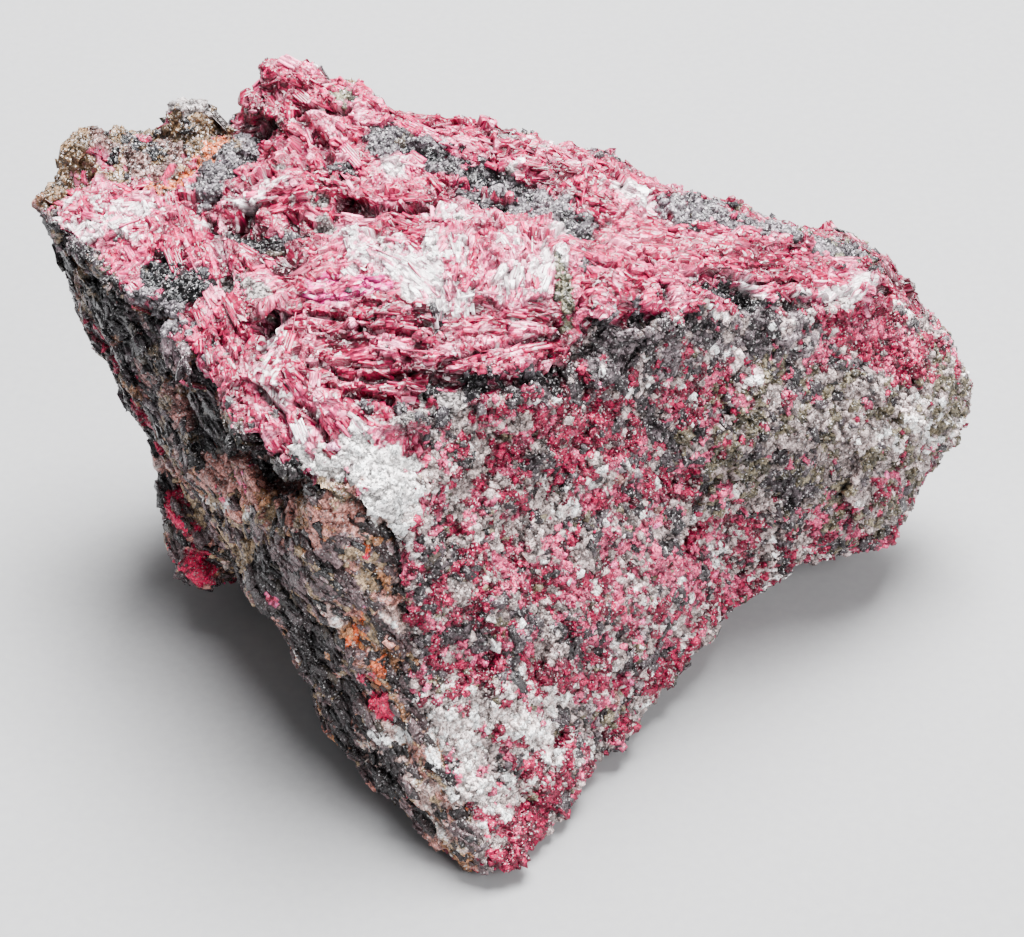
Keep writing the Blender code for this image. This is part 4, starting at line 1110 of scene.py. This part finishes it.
forms, faces = variants_of(grain, 3, GRAIN_RUFFLE)
dice = np.random.RandomState(11)
for name, count, weight in (
    ("front_grains", 14000, wanted * on_front[at]),
    ("left_grains", 2500, wanted * on_left[at]),
    ("back_grains", 10000, wanted * on_back[at]),
    ("vein_grains", 3000, wanted * on_vein[at] * np.where(lode[at], 0.04, 1.0)),
):
    chosen, spot = scatter(count, weight, dice)
    size = dice.uniform(size=count) ** 2.2
    size = (GRAIN_SIZES[0] + (GRAIN_SIZES[1] - GRAIN_SIZES[0]) * size) * MM
    stretch = size[:, None] * dice.uniform(0.7, 1.3, size=(count, 3))
    axes = turned_axes(count, dice) * stretch[:, :, None]
    shades = dice.uniform(0.55, 1.45, size=(count, 1))
    # Each grain takes the tone under it, painted shade included, at a shade of its own.
    strewn(
        name, forms, faces, dice.randint(0, VARIANTS, size=count), axes,
        spot - outward[chosen] * size[:, None] * SUNK, tones[at[chosen]] * shades, broken_face,
    )

# ------------------------------------------------------------------------------------------------
# The flakes of schist on the dark faces: thin plates that have split from it, a little aslant, with
# a dull gloss that glints where they turn to the light.
FLAKES = 7000
FLAKE_SIZES = (0.4, 1.9)                            # mm long
FLAKE_SHARES = ((0.35, 0.8), (0.15, 0.3))           # its width and its thickness, of its length
SLATY, BROWNISH = np.array([0.022, 0.020, 0.021]), np.array([1.9, 1.6, 1.2])

forms, faces = variants_of(grain, 4, FLAKE_RUFFLE)
dark = np.isin(winner[at], (MINERALS.index("slate"), MINERALS.index("black")))
chosen, spot = scatter(FLAKES, wanted * dark * np.where(on_left[at], 1.0, 0.35), dice)
facing = outward[chosen]
size = dice.uniform(size=(FLAKES, 1)) ** 2
size = (FLAKE_SIZES[0] + (FLAKE_SIZES[1] - FLAKE_SIZES[0]) * size) * MM
first = np.where(
    on_left[at[chosen]][:, None], np.array(slant) + 0.25 * dice.normal(size=(FLAKES, 3)),
    np.cross(facing, dice.normal(size=(FLAKES, 3))),
)
first -= facing * (first * facing).sum(axis=1)[:, None]
first /= np.linalg.norm(first, axis=1)[:, None]
second = np.cross(facing, first)
third = facing + 0.12 * dice.normal(size=(FLAKES, 3))
third /= np.linalg.norm(third, axis=1)[:, None]
first = np.cross(second, third)
second = np.cross(third, first)
wide, thick = (dice.uniform(*share, size=(FLAKES, 1)) for share in FLAKE_SHARES)
axes = np.stack([first * size, second * size * wide, third * size * thick], axis=1)
tint = SLATY * dice.uniform(0.5, 2.0, size=(FLAKES, 1))
tint = tint * np.where(dice.uniform(size=(FLAKES, 1)) < 0.3, BROWNISH, np.ones(3))
# Most flakes take the tone under them, painted shade included.
tint = np.where(dice.uniform(size=(FLAKES, 1)) < 0.75, tones[at[chosen]] * 0.9, tint)
strewn(
    "schist_flakes", forms, faces, dice.randint(0, VARIANTS, size=FLAKES), axes,
    spot - facing * size * 0.06, tint, schist,
)

# ------------------------------------------------------------------------------------------------
# The vein's loose crystals, glassy and broken off square or aslant, grown into the sheaves that lie
# over the top of the lump: books of strips side by side, single fibres, and broken plates.
BOOK_LAYERS, FIBRE_LAYERS = 0.36, 0.07      # how many times over books and fibres cover a sheaf
STRIP_CUTS = (-0.36, 0.1, 0.38)             # where a strip may bend, from its middle
ABOVE, DEEPEST = 5, 9                       # where a ray starts over a sheaf, and its length, in mm
GAP_LEAST, GAP_MOST = -0.35 * MM, 0.45 * MM     # how far rock may lie under a crystal's middle

lath = cube()
bpy.ops.object.mode_set(mode="EDIT")
for place in STRIP_CUTS:
    bpy.ops.mesh.select_all(action="SELECT")
    bpy.ops.mesh.bisect(plane_co=(place, 0, 0), plane_no=(1, 0, 0))
bpy.ops.object.mode_set(mode="OBJECT")
fibre = cube()


def picked(palette, value):
    """A palette's tone, from its lightest at 0 to its darkest at 1."""
    names = PALETTES[palette]
    return TONES[names[min(max(int(value * len(names)), 0), len(names) - 1)]]


def place_on(points, up, t, u, width):
    """A place in a sheaf, t of the way along it and u of its width aside, with its two
    directions."""
    spans = [(b - a).length for a, b in zip(points, points[1:])]
    reach = t * sum(spans)
    for a, b, span in zip(points, points[1:], spans):
        if reach <= span or (b - points[-1]).length < 1e-9:
            break
        reach -= span
    along = (b - a).normalized()
    along = (along - up * along.dot(up)).normalized()
    side = up.cross(along)
    return a + (b - a) * min(reach / span, 1.0) + side * u * width * MM, along, side


def laid(place, along, up, length, width, thick, roll, raised):
    """The axes and the middle of a crystal laid over the rock at a place, and the rock's tone
    there; None where nothing carries it."""
    ends = []
    for share in (-0.5, 0.5):
        start = place + along * length * share * MM + up * ABOVE * MM
        hit, _, _, _ = rock_tree.ray_cast(start, -up, DEEPEST * MM)
        if hit is None:
            return None
        ends.append(hit)
    run = ends[1] - ends[0]
    if run.length > 1.35 * length * MM:
        return None
    middle, _, under, _ = rock_tree.ray_cast(place + up * ABOVE * MM, -up, DEEPEST * MM)
    if middle is None or not lode[firsts[under]]:
        return None
    flat = run.normalized()
    out = (up - flat * up.dot(flat)).normalized()
    side = out.cross(flat)
    centre = (ends[0] + ends[1]) / 2
    above = (middle - centre).dot(out)
    if not GAP_LEAST < above < GAP_MOST:
        return None
    tilted_side = side * math.cos(roll) + out * math.sin(roll)
    tilted_out = out * math.cos(roll) - side * math.sin(roll)
    axes = (flat * length * MM, tilted_side * width * MM, tilted_out * thick * MM)
    centre = centre + out * (max(above, 0.0) + raised * MM)
    return axes, centre, Vector(unshaded_tones[firsts[under]])


roselite = glassy("roselite", 0.25, 0.03, 0.20)
crushed_roselite = glassy("crushed_roselite", 0.7, 0.05, 0.22)

rng = random.Random(5)
books, fibres = [], []
for number, points, up in sheaves:
    _, _, width, lengths, widths, pile, palette, fan = SHEAVES[number]
    reach = sum((b - a).length for a, b in zip(points, points[1:])) / MM

    # A book is a crystal of strips in one plane, of one colour but for a few of its strips.
    mean = 1.1 * (lengths[0] + lengths[1]) / 2
    for _ in range(int(BOOK_LAYERS * reach * width / mean)):
        t, u = rng.uniform(0.0, 1.0), rng.uniform(-0.5, 0.5)
        place, along, side = place_on(points, up, t, u, width)
        along = (along + side * rng.gauss(0, fan)).normalized()
        length = (lengths[0] + (lengths[1] - lengths[0]) * rng.random() ** 1.6) * 0.8
        breadth, strip = rng.uniform(0.5, 1.5), rng.uniform(0.16, 0.40)
        raised = rng.uniform(-0.10, 0.6) ** 2 * pile * rng.choice((0.2, 0.5)) - 0.08
        bed = laid(place, along, up, length, 1.0, 1.0, rng.gauss(0, 0.15), raised)
        bed = bed or laid(place, along, up, length / 2, 1.0, 1.0, rng.gauss(0, 0.15), raised)
        if bed is None:
            continue
        (flat, across, out), centre, ground = bed
        native = rng.random() < 0.6
        shade = noise.noise(Vector((t * reach / 3.5, u * width / 1.1, number * 9.1)))
        shade = 0.5 + 0.95 * shade + rng.gauss(0, 0.08)
        step, depth = 0.0, rng.uniform(0.2, 0.4)
        strips = max(int(breadth / strip), 2)
        for n in range(strips):
            step += rng.gauss(0, 0.018)
            share = rng.uniform(0.80, 1.05)
            middle = centre + flat * rng.uniform(-0.12, 0.12)
            middle = middle + across * ((n + 0.5) / strips - 0.5) * breadth + out * step
            tint = ground if native else Vector(picked(palette, shade + rng.gauss(0, 0.06)))
            axes = (flat * share, across * breadth / strips * 1.12, out * depth)
            books.append((axes, middle - out * depth * 0.3, tint * rng.uniform(0.85, 1.25)))

    # A fibre is one thin crystal that lies on the sheaf.
    mean = (lengths[0] + lengths[1]) * (widths[0] + widths[1]) * 0.075
    for _ in range(int(FIBRE_LAYERS * reach * width / mean)):
        t, u = rng.uniform(0.0, 1.0), rng.uniform(-0.5, 0.5)
        place, along, side = place_on(points, up, t, u, width)
        along = (along + side * rng.gauss(0, fan * 1.2)).normalized()
        length = 0.7 * (lengths[0] + (lengths[1] - lengths[0]) * rng.random() ** 1.5)
        breadth = rng.uniform(*widths) * 0.3
        roll, raised = rng.gauss(0, 0.16), rng.uniform(0.0, 0.6) ** 2 * pile
        bed = laid(place, along, up, length, breadth, min(breadth * 0.6, 0.2), roll, raised)
        if bed is None:
            continue
        tint = bed[2]
        if rng.random() < 0.4:
            tint = Vector(picked(palette, 0.5 + rng.gauss(0, 0.25)))
        fibres.append((*bed[:2], tint * rng.uniform(0.75, 1.25)))

# Over the whole vein lie broken plates, much as the nearest sheaf does, of the tone of what is
# under them.
PLATES = 1300
tops = areas * lode[at] * (hollow[at] < 0.4) * (outward[:, 2] > 0.0)
chosen, spot = scatter(PLATES, tops, dice)
plates = []
headings = {number: (points[-1] - points[0]).normalized() for number, points, _ in sheaves}
for k, place in zip(chosen, spot):
    place, normal = Vector(place), Vector(outward[k])
    along = headings[owner[at[k]]]
    along = (along - normal * along.dot(normal)).normalized()
    along = (along + normal.cross(along) * rng.gauss(0, 0.1 + spread[at[k]])).normalized()
    length, breadth = 0.5 + 1.8 * rng.random() ** 1.6, rng.uniform(0.2, 0.7)
    thick, roll, raised = rng.uniform(0.12, 0.26), rng.gauss(0, 0.18), rng.uniform(-0.12, 0.04)
    bed = laid(place, along, normal, length, breadth, thick, roll, raised)
    if bed is not None:
        plates.append((*bed[:2], bed[2] * rng.uniform(0.85, 1.35)))

for name, template, rows, ruffle, material in (
    ("vein_books", lath, books, (0.03, 0.04, 0.06), roselite),
    ("vein_fibres", fibre, fibres, (0.05, 0.18, 0.18), roselite),
    ("vein_plates", fibre, plates, (0.12, 0.12, 0.12), crushed_roselite),
):
    forms, faces = variants_of(template, 8, ruffle)
    kinds = np.array([rng.randrange(VARIANTS) for _ in rows])
    axes, origins, tints = (np.array(column) for column in zip(*rows))
    strewn(name, forms, faces, kinds, axes, origins, tints, material)
for template in (grain, lath, fibre):
    bpy.data.objects.remove(template, do_unlink=True)

# ------------------------------------------------------------------------------------------------
# The floor that the lump lies on, and the light: a broad soft one above and behind, in which the
# blades glint, and a weak wide one in front. None of it is part of the lump.
FLOOR = 1.6
PAPER = ((0.275, 0.275, 0.283, 1), (0.32, 0.32, 0.325, 1))
ROOM, ROOM_STRENGTH = (0.95, 0.97, 1.0, 1.0), 0.41
LAMPS = (       # name, place, width in m, power in W
    ("softbox_above", (0.05, 0.20, 0.62), 0.42, 30.0),
    ("softbox_front", (0.45, -0.50, 0.50), 0.40, 8.5),
)
LIT = Vector((0, 0, 0.02))

bpy.ops.object.select_all(action="DESELECT")
bpy.ops.mesh.primitive_plane_add(size=FLOOR, location=(0, 0.2, 0))
floor = bpy.context.object
floor.name = "floor"
paper = bpy.data.materials.new("floor_paper")
paper.use_nodes = True
tree = paper.node_tree
surface = tree.nodes["Principled BSDF"].inputs
surface["Roughness"].default_value = 0.8
position = add_node(tree, "TexCoord").outputs["Object"]
speck = add_node(tree, "TexNoise", {"Vector": position, "Scale": 900.0}).outputs["Fac"]
tree.links.new(mixed(tree, speck, *PAPER, "RGBA"), surface["Base Color"])
floor.data.materials.append(paper)

world = bpy.data.worlds.new("studio")
world.use_nodes = True
world.node_tree.nodes["Background"].inputs["Color"].default_value = ROOM
world.node_tree.nodes["Background"].inputs["Strength"].default_value = ROOM_STRENGTH
bpy.context.scene.world = world
for name, place, size, power in LAMPS:
    bpy.ops.object.select_all(action="DESELECT")
    bpy.ops.object.light_add(type="AREA", location=place)
    lamp = bpy.context.object
    lamp.name = name
    lamp.data.size = size
    lamp.data.energy = power
    lamp.rotation_mode = "QUATERNION"
    lamp.rotation_quaternion = (LIT - lamp.location).to_track_quat("-Z", "Y")
